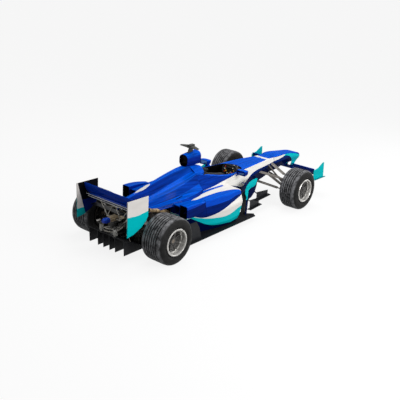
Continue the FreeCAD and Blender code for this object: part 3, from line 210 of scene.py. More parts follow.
def facing_in(tree, place, middle_out=0.0, middle_up=0.0):
    """1 on the faces that look in at a lengthwise axis: a duct's or a cockpit's inner walls."""
    facing = add(tree, "SeparateXYZ", None, {0: add(tree, "TexCoord").outputs["Normal"]})
    parts = add(tree, "SeparateXYZ", None, {0: place})
    side = add(tree, "Math", {"operation": "SIGN"}, {0: parts.outputs["Y"]})
    axis_y = add(tree, "Math", {"operation": "MULTIPLY"}, {0: side.outputs[0], 1: middle_out})
    from_y = add(tree, "Math", {"operation": "SUBTRACT"}, {0: parts.outputs["Y"], 1: axis_y.outputs[0]})
    from_z = add(tree, "Math", {"operation": "SUBTRACT"}, {0: parts.outputs["Z"], 1: middle_up})
    spoke = add(tree, "CombineXYZ", None, {1: from_y.outputs[0], 2: from_z.outputs[0]})
    upright = add(tree, "CombineXYZ", None, {1: facing.outputs["Y"], 2: facing.outputs["Z"]})
    ends = {0: spoke.outputs[0], 1: upright.outputs[0]}
    lean = add(tree, "VectorMath", {"operation": "DOT_PRODUCT"}, ends)
    return where(tree, (lean.outputs["Value"], "<", TURNED_IN))


def slope_lit(tree, low, high, from_slope=0.05, to_slope=0.9):
    """Enamel with painted shade and painted highlight: deep on upright faces and bright on those that face
    the sky.
    """
    slope = add(tree, "SeparateXYZ", None, {0: add(tree, "TexCoord").outputs["Normal"]}).outputs["Z"]
    span = {"Value": slope, "From Min": from_slope, "From Max": to_slope}
    share = add(tree, "MapRange", {"interpolation_type": "SMOOTHSTEP"}, span).outputs["Result"]
    return painted(tree, tint(low), (tint(high), share))


def streak_lit(tree, place, colour, strength=0.2, stretch=(0.8, 16, 16)):
    """Painted highlight and painted shade in streaks along the car, standing for lamp reflections in the
    lacquer.
    """
    run = add(tree, "Mapping", None, {"Vector": place, "Scale": stretch}).outputs[0]
    cloud = add(tree, "TexNoise", None, {"Vector": run, "Scale": 2.2, "Detail": 5.0, "Roughness": 0.62})
    span = {"From Min": 0.34, "From Max": 0.66, "To Min": 1 - strength, "To Max": 1 + strength}
    level = add(tree, "MapRange", None, {"Value": cloud.outputs["Fac"], **span}).outputs["Result"]
    return add(tree, "VectorMath", {"operation": "SCALE"}, {0: colour, "Scale": level}).outputs[0]


def surfaced(tree, shader, colour, roughness, specular, relief=None, metallic=0.0):
    """Sets a finish's colour, gloss and metal, and its relief: height, strength and depth in metres."""
    tree.links.new(colour, shader.inputs["Base Color"])
    shader.inputs["Roughness"].default_value = roughness
    shader.inputs["Specular IOR Level"].default_value = specular
    shader.inputs["Metallic"].default_value = metallic
    if relief:
        height, strength, depth = relief
        bump = add(tree, "Bump", None, {"Strength": strength, "Distance": depth, "Height": height})
        tree.links.new(bump.outputs[0], shader.inputs["Normal"])


def lacquered(tree, shader, place, colour, roughness=0.3):
    """Enamel under clear lacquer: a thin coat over a softer base, with a faint ripple."""
    ripple = add(tree, "TexNoise", None, {"Vector": place, "Scale": 16.0, "Detail": 2.0})  # 60 mm waves
    surfaced(tree, shader, colour, roughness, 0.0, (ripple.outputs["Fac"], 0.12, 0.004))
    shader.inputs["Coat Weight"].default_value = 0.05
    shader.inputs["Coat Roughness"].default_value = 0.08


def paint_node(name, material):
    """Gives a CAD node its finish."""
    for slot in nodes[name].material_slots:
        slot.material = material


DECK_EDGE = [
    # place along the car, height
    (-2.4, 0.56), (-0.75, 0.612), (-0.42, 0.636), (-0.18, 0.664), (0.05, 0.682), (0.26, 0.703),
    (0.6, 0.706), (1.4, 0.699), (1.74, 0.69), (2.08, 0.642), (2.29, 0.572), (2.4, 0.51),
]
FLANK_EDGE = [
    (-2.4, 0.56), (-0.1, 0.56), (0.2, 0.5), (0.35, 0.45), (0.42, 0.466), (0.46, 0.503), (0.61, 0.587),
    (0.8, 0.617), (1.04, 0.623), (1.31, 0.633), (1.55, 0.655), (1.75, 0.665), (1.88, 0.64), (1.95, 0.6),
    (2.05, 0.52), (2.15, 0.4), (2.4, 0.4),
]
TIP_EDGE = [(-2.4, 0.1), (1.5, 0.5), (1.63, 0.645), (1.78, 0.686), (1.9, 0.71), (2.4, 0.72)]
COCKPIT_HALF = [
    # place along the car, half width of the opening and its black edge
    (-2.4, 0), (-0.53, 0), (-0.52, 0.24), (0.31, 0.231), (0.4, 0.205), (0.46, 0.155), (0.5, 0.095),
    (0.526, 0), (0.55, 0), (2.4, 0),
]
COCKPIT_AXIS, COCKPIT_FLOOR, COCKPIT_HIGH, COCKPIT_MIDDLE, COCKPIT_REACH = 0.4, 0.15, 0.81, -0.03, 0.57
NOSE_JOINT, JOINT_HALF = 1.4, 0.003
# Near-black bare carbon that also stands as painted shade: in the cockpit, the louvre slots, the pod's
# throat and the pods' ducts.
carbon_and_shade = tint(CARBON_AND_SHADE_BLACK)
tub_enamel, tree, shader, place = finish_of("tub_enamel")
along, out, up = axes(tree, place)
tip = (up, "<", masked_edge(tree, along, TIP_EDGE))
stripe = streak_lit(tree, place, painted(tree, tint(OFF_WHITE), (tint(TURQUOISE), tip)), 0.06)
low_blue = streak_lit(tree, place, slope_lit(tree, NAVY, LIT_NAVY, -0.6, 0.6), 0.3)
deck_blue = streak_lit(tree, place, slope_lit(tree, SHADE_BLUE, SKY_LIT_BLUE), 0.4, (0.4, 22, 22))
cockpit = [(up, ">", COCKPIT_FLOOR), (up, "<", COCKPIT_HIGH)]
walls = facing_in(tree, place, 0, COCKPIT_AXIS)
colour = painted(
    tree,
    low_blue,
    (stripe, (up, ">", masked_edge(tree, along, FLANK_EDGE))),
    (deck_blue, (up, ">", masked_edge(tree, along, DECK_EDGE))),
    (carbon_and_shade, (out, "<", masked_edge(tree, along, COCKPIT_HALF)), *cockpit),
    (carbon_and_shade, walls, (along, "near", COCKPIT_MIDDLE, COCKPIT_REACH), *cockpit),
    (tint(NAVY), (along, "near", NOSE_JOINT, JOINT_HALF)),
)
lacquered(tree, shader, place, colour)
for name in ("monocoque", "nose_cone"):
    paint_node(name, tub_enamel)

# ---------------------------------------- engine cover, intake pod and mirrors
# One-piece laminated bodywork with moulded ridges, sprayed blue but for a pale stripe on
# its spine, and fastened down. Its blue is painted lighter on faces that look up and
# darker on upright ones, with painted highlight streaks that run along it. A dark line
# painted on each flank stands for a louvre slot and the shade in it. The pod is the
# intake's mouth, its blue painted the same way, with its throat painted near black as
# painted shade.
LOUVRE = [(-2.4, 0.2), (-1.3, 0.3), (-1.1, 0.31), (2.4, 0.4)]
LOUVRE_HALF, LOUVRE_MIDDLE, LOUVRE_REACH = 0.009, -1.18, 0.065
COVER_HALF = [(-2.4, 0.05), (-1.985, 0.07), (-1.6, 0.21), (-1.2, 0.32), (-0.7, 0.42), (2.4, 0.42)]
SPINE_STRIPE = [(-2.4, 0), (-1.78, 0), (-1.7, 0.022), (-1.6, 0.03), (-1.5, 0.022), (-1.45, 0), (2.4, 0)]
cover_enamel, tree, shader, place = finish_of("cover_enamel")
along, out = axes(tree, place)[:2]
share_out = add(tree, "Math", {"operation": "DIVIDE"}, {0: out, 1: masked_edge(tree, along, COVER_HALF)})
flow = add(tree, "CombineXYZ", None, {0: along, 1: share_out.outputs[0]}).outputs[0]
blue = streak_lit(tree, flow, slope_lit(tree, SHADE_BLUE, SKY_LIT_BLUE, 0.1, 1.0), 0.42, (0.6, 4, 1))
blue = streak_lit(tree, flow, blue, 0.34, (0.5, 14, 1))
colour = painted(
    tree,
    blue,
    (tint(STONE), (out, "<", masked_edge(tree, along, SPINE_STRIPE))),
    (
        carbon_and_shade,
        (out, "near", masked_edge(tree, along, LOUVRE), LOUVRE_HALF),
        (along, "near", LOUVRE_MIDDLE, LOUVRE_REACH),
    ),
)
lacquered(tree, shader, place, colour)
paint_node("engine_cover", cover_enamel)

THROAT_DROP, THROAT_FOOT = 0.103, 0.93
pod_enamel, tree, shader, place = finish_of("intake_pod_enamel")
up = axes(tree, place)[2]
# The throat's inner walls are painted near black, a painted shade in the intake.
throat = facing_in(tree, place, 0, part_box("airbox_pod")[1].z - THROAT_DROP)
blue = streak_lit(tree, place, slope_lit(tree, SHADE_BLUE, SKY_LIT_BLUE, -0.1, 0.9), 0.4, (0.8, 22, 22))
lacquered(tree, shader, place, painted(tree, blue, (carbon_and_shade, throat, (up, ">", THROAT_FOOT))))
for name in ("airbox_pod", "mirrors"):
    paint_node(name, pod_enamel)

# ---------------------------------------- side pods
# Laminated pods with a boxed hot air outlet behind. The blue top meets a navy side,
# and a white and turquoise sweep runs up towards the rear wheel. Blue and navy are
# painted lighter on faces that look up, a painted highlight, and all the paint has
# painted highlight streaks. The ducts and the inlet are painted near black inside,
# bare carbon that also stands as painted shade.
SHOULDER = [
    (-2.4, 0.58), (-0.95, 0.594), (-0.905, 0.594), (-0.9, 0.5), (-0.41, 0.51), (-0.23, 0.535), (2.4, 0.56),
]
SWEEP_TOP = [
    (-2.4, 0.52), (-1.28, 0.457), (-1.09, 0.394), (-0.89, 0.35), (-0.76, 0.362), (-0.63, 0.389),
    (-0.52, 0.418), (-0.39, 0.454), (-0.25, 0.487), (-0.15, 0.509), (-0.08, 0.53), (2.4, 0.53),
]
SWEEP_SPLIT = [
    (-2.4, 0.5), (-1.28, 0.455), (-1.09, 0.386), (-0.88, 0.325), (-0.74, 0.3), (-0.6, 0.283),
    (-0.48, 0.278), (-0.37, 0.291), (-0.24, 0.332), (-0.15, 0.35), (2.4, 0.38),
]
SWEEP_FOOT = [
    (-2.4, 0.48), (-1.3, 0.45), (-1.13, 0.366), (-0.99, 0.291), (-0.85, 0.22), (-0.69, 0.167),
    (-0.53, 0.141), (-0.4, 0.126), (-0.26, 0.11), (-0.13, 0.12), (2.4, 0.13),
]
SPEAR_INNER = [
    (-2.4, 0.47), (-1.1, 0.44), (-0.956, 0.413), (-0.803, 0.383), (-0.637, 0.362), (-0.463, 0.354),
    (-0.33, 0.352), (-0.23, 0.35), (-0.2, 0.3), (2.4, 0.2),
]
SPEAR_OUTER = [
    (-2.4, 0.4), (-1.06, 0.44), (-0.96, 0.464), (-0.75, 0.46), (-0.55, 0.461), (-0.37, 0.485),
    (-0.23, 0.513), (-0.12, 0.58), (-0.05, 0.7), (2.4, 0.7),
]
SPEAR_FOOT = 0.57
BOX_JOINT, BOX_OUT, BOX_LOW = -0.903, 0.5, 0.36
DUCT_OUT, DUCT_UP, DUCT_HALF, DUCT_FROM, DUCT_LOW = 0.57, 0.547, 0.08, -1.1, 0.44
INLET_OUT, INLET_UP, INLET_FROM, INLET_TOP = 0.47, 0.43, -0.6, 0.6
side_enamel, tree, shader, place = finish_of("side_pod_enamel")
along, out, up = axes(tree, place)
blue_top = slope_lit(tree, "#0a3fb4", SKY_LIT_BLUE, 0.0, 0.8)
shoulder = (up, ">", masked_edge(tree, along, SHOULDER))
base = streak_lit(tree, place, painted(tree, slope_lit(tree, "#021a60", LIT_NAVY), (blue_top, shoulder)))
spear = [
    (out, ">", masked_edge(tree, along, SPEAR_INNER)),
    (out, "<", masked_edge(tree, along, SPEAR_OUTER)),
    (up, ">", SPEAR_FOOT),
]
coats = [(streak_lit(tree, place, tint(OFF_WHITE)[:3], 0.06), *spear)]
for points, paint in ((SWEEP_TOP, OFF_WHITE), (SWEEP_SPLIT, TURQUOISE), (SWEEP_FOOT, NAVY)):
    sweep = streak_lit(tree, place, tint(paint)[:3], 0.06)
    coats.append((sweep, (up, "<", masked_edge(tree, along, points))))
duct = [(along, "<", DUCT_FROM), (out, "near", DUCT_OUT, DUCT_HALF), (up, ">", DUCT_LOW)]
# After a dark joint line, the duct and inlet walls are painted near black, a painted shade.
coats += [
    (tint(NAVY), (along, "near", BOX_JOINT, JOINT_HALF), (out, ">", BOX_OUT), (up, ">", BOX_LOW)),
    (carbon_and_shade, facing_in(tree, place, DUCT_OUT, DUCT_UP), *duct),
    (carbon_and_shade, facing_in(tree, place, INLET_OUT, INLET_UP), (along, ">", INLET_FROM), (up, "<", INLET_TOP)),
]
lacquered(tree, shader, place, painted(tree, base, *coats))
for name in ("sidepod_left", "sidepod_right"):
    paint_node(name, side_enamel)

# ---------------------------------------- bare carbon pieces
# Floor, diffuser, vanes and inner structure are bare twill carbon under a thin satin
# lacquer, nearly black with a grey sheen where dust lies. The tows are 2 mm wide and
# drawn 10 mm wide here, or they wouldn't show.


def clouds(tree, place, scale, detail, roughness=0.5, low=0.35, high=0.65):
    """Clouded noise, and the share of it between two levels."""
    levels = {"Vector": place, "Scale": scale, "Detail": detail, "Roughness": roughness}
    cloud = add(tree, "TexNoise", None, levels).outputs["Fac"]
    share = add(tree, "MapRange", None, {"Value": cloud, "From Min": low, "From Max": high})
    return cloud, share.outputs["Result"]


carbon, tree, shader, place = finish_of("satin_twill_carbon")
TOW, DUST_MOST = 0.01, 0.35
cloth = {"Vector": place, "Scale": 1 / TOW, "Color1": tint("#0f1013"), "Color2": tint("#212327")}
weave = add(tree, "TexChecker", None, cloth)
dust = clouds(tree, place, 6.0, 5.0, 0.5, 0.45, 0.8)[1]
colour = painted(tree, weave.outputs["Color"], (tint("#2e2e2e"), dust, DUST_MOST))
surfaced(tree, shader, colour, 0.42, 0.12, (weave.outputs["Fac"], 0.25, 0.0006))
BARE_PIECES = (
    "floor", "diffuser", "turning_vanes", "tyre_fences", "seat", "steering_wheel", "rear_wing_beam",
)
for name in BARE_PIECES:
    paint_node(name, carbon)

# ---------------------------------------- cockpit
# A moulded foam pad in black suede lies around the driver's head, on the tub's rim.
# Two shoulder belts of woven polyester run down the carbon shell to a round buckle.


def pick(*pieces):
    """Selects these pieces and no others, with the first one active."""
    bpy.ops.object.select_all(action="DESELECT")
    for piece in pieces:
        piece.select_set(True)
    bpy.context.view_layer.objects.active = pieces[0]


def apply_all(piece):
    """Leaves the piece's place in its mesh, with its object at the origin."""
    pick(piece)
    bpy.ops.object.transform_apply(location=True, rotation=True, scale=True)


def finish_with(piece, kind, **settings):
    """Adds a modifier with its settings and applies it."""
    pick(piece)
    modifier = piece.modifiers.new(kind.lower(), kind)
    for name, value in settings.items():
        setattr(modifier, name, value)
    bpy.ops.object.modifier_apply(modifier=modifier.name)


def dress(piece, material, body):
    """Gives a piece its finish and its body."""
    piece.data.materials.clear()
    piece.data.materials.append(material)
    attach(piece, body)


def mottled(name, dark, light, scale, roughness, metallic=0.0, grain=0.0):
    """A finish clouded between two shades, with its roughness clouded too, and a fine grain."""
    material, tree, shader, place = finish_of(name)
    cloud, share = clouds(tree, place, scale, 7.0, 0.6)
    grit = add(tree, "TexNoise", None, {"Vector": place, "Scale": scale * 12, "Detail": 3.0})
    colour = painted(tree, tint(dark), (tint(light), share))
    specular = 0.25 if metallic < 0.5 else 0.5
    surfaced(tree, shader, colour, roughness, specular, (grit.outputs["Fac"], grain, 0.001), metallic)
    wear = 0.08
    span = {"Value": cloud, "To Min": roughness - wear, "To Max": roughness + wear}
    tree.links.new(add(tree, "MapRange", None, span).outputs["Result"], shader.inputs["Roughness"])
    return material


# Suede drinks the light: near black, with no shine and a soft nap.
suede = mottled("black_suede", "#0e0e10", "#26262a", 40.0, 0.85, grain=0.5)
pad = bpy.data.objects.new("headrest_pad", nodes["headrest"].data.copy())
bpy.context.scene.collection.objects.link(pad)
pick(pad)
bpy.ops.object.mode_set(mode="EDIT")
bpy.ops.mesh.select_all(action="SELECT")
bpy.ops.mesh.remove_doubles(threshold=0.00005)
SLACK = 0.004  # the pad starts this much smaller, because it swells
bpy.ops.transform.shrink_fatten(value=-SLACK)
bpy.ops.object.mode_set(mode="OBJECT")
PAD_VOXEL = 0.006
finish_with(pad, "REMESH", mode="VOXEL", voxel_size=PAD_VOXEL)
resting = [vertex.co.copy() for vertex in pad.data.vertices]
pick(pad)
swell = pad.modifiers.new("swell", "CLOTH")
swell.settings.use_pressure = True
swell.settings.uniform_pressure_force = 4.0
swell.settings.effector_weights.gravity = 0
SWELL_FRAMES, SWELL_CAP = 20, 0.006
for moment in range(1, SWELL_FRAMES + 1):
    bpy.context.scene.frame_set(moment)
bpy.ops.object.modifier_apply(modifier=swell.name)
for vertex, start in zip(pad.data.vertices, resting):
    moved = vertex.co - start
    if moved.length > SWELL_CAP:
        vertex.co = start + moved * (SWELL_CAP / moved.length)
bpy.context.scene.frame_set(1)
finish_with(pad, "SUBSURF", levels=1, render_levels=1)
bpy.ops.object.shade_smooth()
dress(pad, suede, "chassis")
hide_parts("headrest")


def tube(name, points, radius, taper=None):
    """A round tube on a smooth route, closed at its ends; taper gives each point's thickness."""
    bpy.ops.object.select_all(action="DESELECT")
    bpy.ops.curve.primitive_nurbs_path_add(location=(0, 0, 0))
    piece = bpy.context.object
    piece.name = name
    piece.data.splines.clear()
    route = piece.data.splines.new("NURBS")
    route.points.add(len(points) - 1)
    for count, point in enumerate(points):
        route.points[count].co = (*point, 1)
        route.points[count].radius = taper[count] if taper else 1
    route.order_u = 3
    route.use_endpoint_u = True
    route.resolution_u = 6
    piece.data.bevel_depth = radius
    piece.data.bevel_resolution = 3
    piece.data.use_fill_caps = True
    bpy.ops.object.convert(target="MESH")
    piece = bpy.context.object
    bpy.ops.object.shade_smooth_by_angle(angle=math.radians(40))
    apply_all(piece)
    return piece


def rounded_block(name, middle, size, edge, turn=(0, 0, 0)):
    """A block added at its size and place, with its edges rounded."""
    bpy.ops.object.select_all(action="DESELECT")
    bpy.ops.mesh.primitive_cube_add(size=1, location=middle, rotation=turn, scale=size)
    piece = bpy.context.object
    piece.name = name
    apply_all(piece)
    finish_with(piece, "BEVEL", width=edge, segments=2)
    bpy.ops.object.shade_smooth_by_angle(angle=math.radians(40))
    return piece


def spun(name, section, centre, axis=(0, 1, 0), steps=48):
    """A ring or a solid spun about an axis, from (along the axis, radius) points of its section."""
    axis = Vector(axis).normalized()
    outward = Vector((0, 0, 1)) - axis * axis.z
    outward.normalize()
    bpy.ops.object.select_all(action="DESELECT")
    bpy.ops.mesh.primitive_circle_add(vertices=len(section))
    piece = bpy.context.object
    piece.name = name
    for vertex, (reach, radius) in zip(piece.data.vertices, section):
        vertex.co = Vector(centre) + axis * reach + outward * radius
    bpy.ops.object.mode_set(mode="EDIT")
    bpy.ops.mesh.select_all(action="SELECT")
    bpy.ops.mesh.spin(steps=steps, angle=2 * math.pi, center=centre, axis=axis)
    bpy.ops.mesh.select_all(action="SELECT")
    bpy.ops.mesh.remove_doubles(threshold=0.00005)
    bpy.ops.mesh.delete_loose()
    bpy.ops.mesh.select_all(action="SELECT")
    bpy.ops.mesh.normals_make_consistent(inside=False)
    bpy.ops.object.mode_set(mode="OBJECT")
    bpy.ops.object.shade_smooth_by_angle(angle=math.radians(35))
    apply_all(piece)
    return piece


def joined(name, pieces):
    """Several meshes made one piece."""
    pick(*pieces)
    bpy.ops.object.join()
    pieces[0].name = name
    return pieces[0]


# Webbing is matt, with woven ribs along it, 2.6 mm apart.
webbing, tree, shader, place = finish_of("woven_webbing")
rows = {"Vector": place, "Scale": 120.0, "Distortion": 0.4}
ribs = add(tree, "TexWave", {"bands_direction": "Y"}, rows).outputs["Fac"]
colour = painted(tree, tint("#141416"), (tint("#2d2d31"), ribs))
surfaced(tree, shader, colour, 0.8, 0.5, (ribs, 0.6, 0.001))
BELT_ROUTE = [
    # place along the car, height
    (-0.385, 0.708), (-0.345, 0.64), (-0.31, 0.53), (-0.262, 0.4), (-0.2, 0.305), (-0.13, 0.262),
]
BELT_WIDE, BELT_THICK, BELT_OFF = 0.07, 0.003, (0.012, 0.006)
BELT_TOP, BELT_CLOSING = 0.075, 0.055
for side, name in ((1, "left"), (-1, "right")):
    bpy.ops.object.select_all(action="DESELECT")
    bpy.ops.mesh.primitive_grid_add(x_subdivisions=len(BELT_ROUTE) - 1, y_subdivisions=2, size=1)
    belt = bpy.context.object
    belt.name = f"shoulder_belt_{name}"
    for vertex in belt.data.vertices:
        step = round((vertex.co.x + 0.5) * (len(BELT_ROUTE) - 1))
        x, z = BELT_ROUTE[step]
        middle = side * (BELT_TOP - BELT_CLOSING * step / (len(BELT_ROUTE) - 1))
        vertex.co = (x + BELT_OFF[0], middle + vertex.co.y * BELT_WIDE, z + BELT_OFF[1])
    finish_with(belt, "SUBSURF", levels=2, render_levels=2)
    finish_with(belt, "SOLIDIFY", thickness=BELT_THICK, offset=1)
    bpy.ops.object.shade_smooth_by_angle(angle=math.radians(40))
    dress(belt, webbing, "chassis")

# Polished steel mirrors the cockpit, with fine wear in its gloss.
bright_steel = mottled("polished_steel", "#8a8885", "#c2c0bc", 30.0, 0.25, 0.9)
BUCKLE = [(0, 0), (0, 0.034), (0.012, 0.034), (0.016, 0.03), (0.017, 0.012), (0.021, 0.01), (0.021, 0)]
BUCKLE_PLACE, BUCKLE_FACES = (-0.105, 0, 0.258), (-0.5, 0, 0.87)
buckle = spun("belt_buckle", BUCKLE, BUCKLE_PLACE, BUCKLE_FACES)
dress(buckle, bright_steel, "chassis")

# ---------------------------------------- steering wheel fittings
# The carbon wheel carries suede grips, glued on, a smoked screen, and moulded buttons
# that are pressed into the face that looks at the driver.
WHEEL_CENTRE = Vector((0.345, 0, 0.655))
COLUMN_TILT = math.radians(12)
to_driver = Vector((-math.cos(COLUMN_TILT), 0, math.sin(COLUMN_TILT)))
up_the_wheel = Vector((math.sin(COLUMN_TILT), 0, math.cos(COLUMN_TILT)))


def on_wheel(across, height, proud=0.0):
    """A place on the wheel's face."""
    return WHEEL_CENTRE + Vector((0, across, 0)) + up_the_wheel * height + to_driver * proud


GRIP_ROUTE = [
    # across, up, thickness as a share of the grip's
    (0.1, 0.072, 0.7), (0.128, 0.04, 1), (0.134, 0.0, 1.05), (0.126, -0.045, 1), (0.106, -0.066, 0.7),
]
GRIP_RADIUS, GRIP_BACK = 0.0185, 0.008
grips = []
for side in (1, -1):
    points = [on_wheel(side * across, height, -GRIP_BACK) for across, height, share in GRIP_ROUTE]
    grips.append(tube("grip", points, GRIP_RADIUS, [share for across, height, share in GRIP_ROUTE]))
dress(joined("steering_wheel_grips", grips), suede, "steering")
# The smoked screen is black glass: dark, with a sharp reflection.
smoked = mottled("smoked_screen", "#05070a", "#10161e", 20.0, 0.15)
SCREEN_UP, SCREEN_PROUD, SCREEN_SIZE = 0.045, 0.006, (0.012, 0.09, 0.032)
screen = rounded_block(
    "steering_wheel_screen", on_wheel(0, SCREEN_UP, SCREEN_PROUD), SCREEN_SIZE, 0.003, (0, COLUMN_TILT, 0)
)
dress(screen, smoked, "steering")
# The buttons are moulded ABS in clear colours, with a dull satin top.
BUTTONS = {
    # colour: its code, then each button's place across and up the wheel, and its radius
    "red": ("#c41a10", [(0.085, 0.052, 0.009), (-0.085, -0.038, 0.009)]),
    "yellow": ("#e0a80c", [(0.062, -0.012, 0.011), (-0.006, -0.05, 0.011), (-0.09, 0.012, 0.009)]),
    "orange": ("#e0560c", [(-0.06, -0.026, 0.01), (0.088, -0.03, 0.008)]),
    "white": (
        "#d8d6d0",
        [(0.09, 0.014, 0.008), (-0.066, 0.05, 0.008), (0.03, -0.042, 0.008), (-0.032, -0.02, 0.007)],
    ),
}
for colour_name, (code, places) in BUTTONS.items():
    moulded = mottled(f"moulded_{colour_name}_button", code, code, 60.0, 0.4, grain=0.2)
    caps = []
    for across, height, radius in places:
        section = [(0, 0), (0, radius), (0.007, radius), (0.0095, radius - 0.002)]
        section += [(0.0085, radius - 0.004), (0.0085, 0)]
        caps.append(spun("cap", section, on_wheel(across, height), to_driver, 20))
    dress(joined(f"steering_wheel_buttons_{colour_name}", caps), moulded, "steering")

# ---------------------------------------- mirrors' glass and onboard camera
# Silvered glass is bonded in each mirror's rear recess: it is tinted a little blue, a
# painted reflection of the sky. The camera is moulded glass-filled nylon, a dull olive
# black, with a lens in front, and stands on the pod on a screwed foot.
sky_painted_mirror = mottled("mirror_glass_painted_sky", "#2c4878", "#5b7fb4", 4.0, 0.12, 1.0)
GLASS_MIDDLE, GLASS_SIZE = (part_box("mirrors")[0].x + 0.011, 0.3795, 0.745), (0.004, 0.139, 0.056)


def on_side(side, place):
    """A place given on the left, on this side."""
    x, y, z = place
    return x, side * y, z


glasses = []
for side in (1, -1):
    glasses.append(rounded_block("glass", on_side(side, GLASS_MIDDLE), GLASS_SIZE, 0.0015))
dress(joined("mirror_glasses", glasses), sky_painted_mirror, "chassis")

nylon = mottled("olive_nylon", "#242523", "#3b3c38", 14.0, 0.5, grain=0.2)
paint_node("onboard_camera", nylon)
LENS_IN, LENS_DROP = 0.014, 0.03
camera_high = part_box("onboard_camera")[1]
lens_place = (camera_high.x - LENS_IN, 0, camera_high.z - LENS_DROP)
lens_section = [(0, 0), (0, 0.014), (0.012, 0.014), (0.014, 0.012), (0.011, 0.01), (0.008, 0)]
lens = spun("camera_lens", lens_section, lens_place, (1, 0, 0))
dress(lens, smoked, "chassis")

# ---------------------------------------- wings and boards
# Wing planes are moulded carbon in navy enamel with white trailing edges. The rear end
# plates are masked in stone white and turquoise outside, and left dark inside but for a
# strip at the rear. The boards ahead of the pods are navy with a turquoise winglet. The
# blue and navy of planes, flaps and boards are painted lighter on faces that look up, a
# painted highlight, and the paint on all of them carries painted highlight streaks.
SPANWISE = (14, 1.2, 14)
flap_enamel, tree, shader, place = finish_of("wing_enamel")
blue = streak_lit(tree, place, slope_lit(tree, "#0434a8", "#0846c4", -0.6, 0.8), 0.3, SPANWISE)
lacquered(tree, shader, place, blue)
for name in ("front_wing_flaps", "rear_wing_flap"):
    paint_node(name, flap_enamel)

plane_enamel, tree, shader, place = finish_of("wing_plane_enamel")
along, up = axes(tree, place)[::2]
WING_LOW, WING_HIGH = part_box("rear_wing_main")
LOWER_EDGE, UPPER_EDGE, PLANES_PART = WING_LOW.x + 0.042, WING_LOW.x + 0.014, 0.716
blue = streak_lit(tree, place, slope_lit(tree, "#03123f", LIT_NAVY), 0.3, SPANWISE)
white = tint("#fbfbf9")
colour = painted(
    tree,
    blue,
    (white, (along, "<", LOWER_EDGE), (up, "<", PLANES_PART)),
    (white, (along, "<", UPPER_EDGE), (up, ">", PLANES_PART)),
)
lacquered(tree, shader, place, colour)
for name in ("front_wing_plane", "rear_wing_main"):
    paint_node(name, plane_enamel)

PLATE_LINE = [(-2.4, 0.705), (-2.33, 0.7), (-2.2, 0.69), (-2.1, 0.698), (-1.99, 0.712), (2.4, 0.9)]
STRIP_REAR, STRIP_TOP, STRIP_LEAN = -2.356, 0.915, 0.283
INSIDE_SPLIT, INSIDE_NAVY, PLATE_HALF, FOOT_HIGH = 0.55, 0.66, 0.006, 0.012
plate_enamel, tree, shader, place = finish_of("rear_plate_enamel")
along, out, up = axes(tree, place)
inside = (out, "<", WING_HIGH.y + PLATE_HALF)
lean = {0: up, 1: -STRIP_LEAN, 2: STRIP_REAR + STRIP_LEAN * STRIP_TOP}
strip_edge = add(tree, "Math", {"operation": "MULTIPLY_ADD"}, lean).outputs[0]
ahead = (along, ">", strip_edge)
colour = painted(
    tree,
    tint(TURQUOISE),
    (tint(STONE), (up, ">", masked_edge(tree, along, PLATE_LINE))),
    (tint(TURQUOISE), inside),
    (tint(STONE), inside, (up, ">", INSIDE_SPLIT)),
    (tint("#0a1f66"), inside, ahead),
    (tint("#101014"), inside, ahead, (up, ">", INSIDE_NAVY)),
)
lacquered(tree, shader, place, streak_lit(tree, place, colour, 0.06, (1, 1, 3)), 0.45)
paint_node("rear_wing_end_plates", plate_enamel)

nose_plate_enamel, tree, shader, place = finish_of("front_plate_enamel")
foot = (axes(tree, place)[2], "<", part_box("front_wing_end_plates")[0].z + FOOT_HIGH)
colour = streak_lit(tree, place, painted(tree, tint(TURQUOISE), (tint("#0a8c94"), foot)), 0.1)
lacquered(tree, shader, place, colour, 0.4)
paint_node("front_wing_end_plates", nose_plate_enamel)

CRESCENT = [
    # place along the car, height of its inner edge
    (-2.4, 0.2), (0.182, 0.2), (0.19, 0.43), (0.208, 0.485), (0.24, 0.502), (0.275, 0.513),
    (0.357, 0.523), (0.395, 0.55), (0.43, 0.61), (2.4, 0.9),
]
CRESCENT_FOOT, CRESCENT_OUT = 0.33, 0.5
board_enamel, tree, shader, place = finish_of("barge_board_enamel")
along, out, up = axes(tree, place)
inner_edge = masked_edge(tree, along, CRESCENT)
crescent = [(up, ">", inner_edge), (up, ">", CRESCENT_FOOT), (out, ">", CRESCENT_OUT)]
colour = painted(tree, slope_lit(tree, "#04103a", LIT_NAVY), (tint(TURQUOISE), *crescent))
lacquered(tree, shader, place, streak_lit(tree, place, colour))
paint_node("bargeboards", board_enamel)
WINGLET = [
    # place along the car, height: its curved rear edge, then back over the board
    (0.394, 0.635), (0.302, 0.638), (0.208, 0.608), (0.15, 0.56), (0.121, 0.498), (0.128, 0.442),
    (0.16, 0.386), (0.196, 0.343), (0.25, 0.36), (0.33, 0.45), (0.4, 0.54), (0.415, 0.6),
]
WINGLET_OUT, WINGLET_THICK = 0.506, 0.005
INNER_MIDDLE, INNER_SIZE = (0.18, 0.468, 0.272), (0.16, 0.006, 0.38)
winglets, inner_boards = [], []
for side in (1, -1):
    bpy.ops.object.select_all(action="DESELECT")
    bpy.ops.mesh.primitive_circle_add(vertices=len(WINGLET), fill_type="NGON")
    winglet = bpy.context.object
    for vertex, (x, z) in zip(winglet.data.vertices, WINGLET):
        vertex.co = (x, side * (WINGLET_OUT + WINGLET_THICK / 2), z)
    finish_with(winglet, "SOLIDIFY", thickness=WINGLET_THICK, offset=0)
    finish_with(winglet, "BEVEL", width=0.001, segments=1)
    bpy.ops.object.mode_set(mode="EDIT")
    bpy.ops.mesh.select_all(action="SELECT")
    bpy.ops.mesh.normals_make_consistent(inside=False)
    bpy.ops.object.mode_set(mode="OBJECT")
    apply_all(winglet)
    winglets.append(winglet)
    inner_boards.append(rounded_block("inner_board", on_side(side, INNER_MIDDLE), INNER_SIZE, 0.002))
dress(joined("bargeboard_winglets", winglets), board_enamel, "chassis")
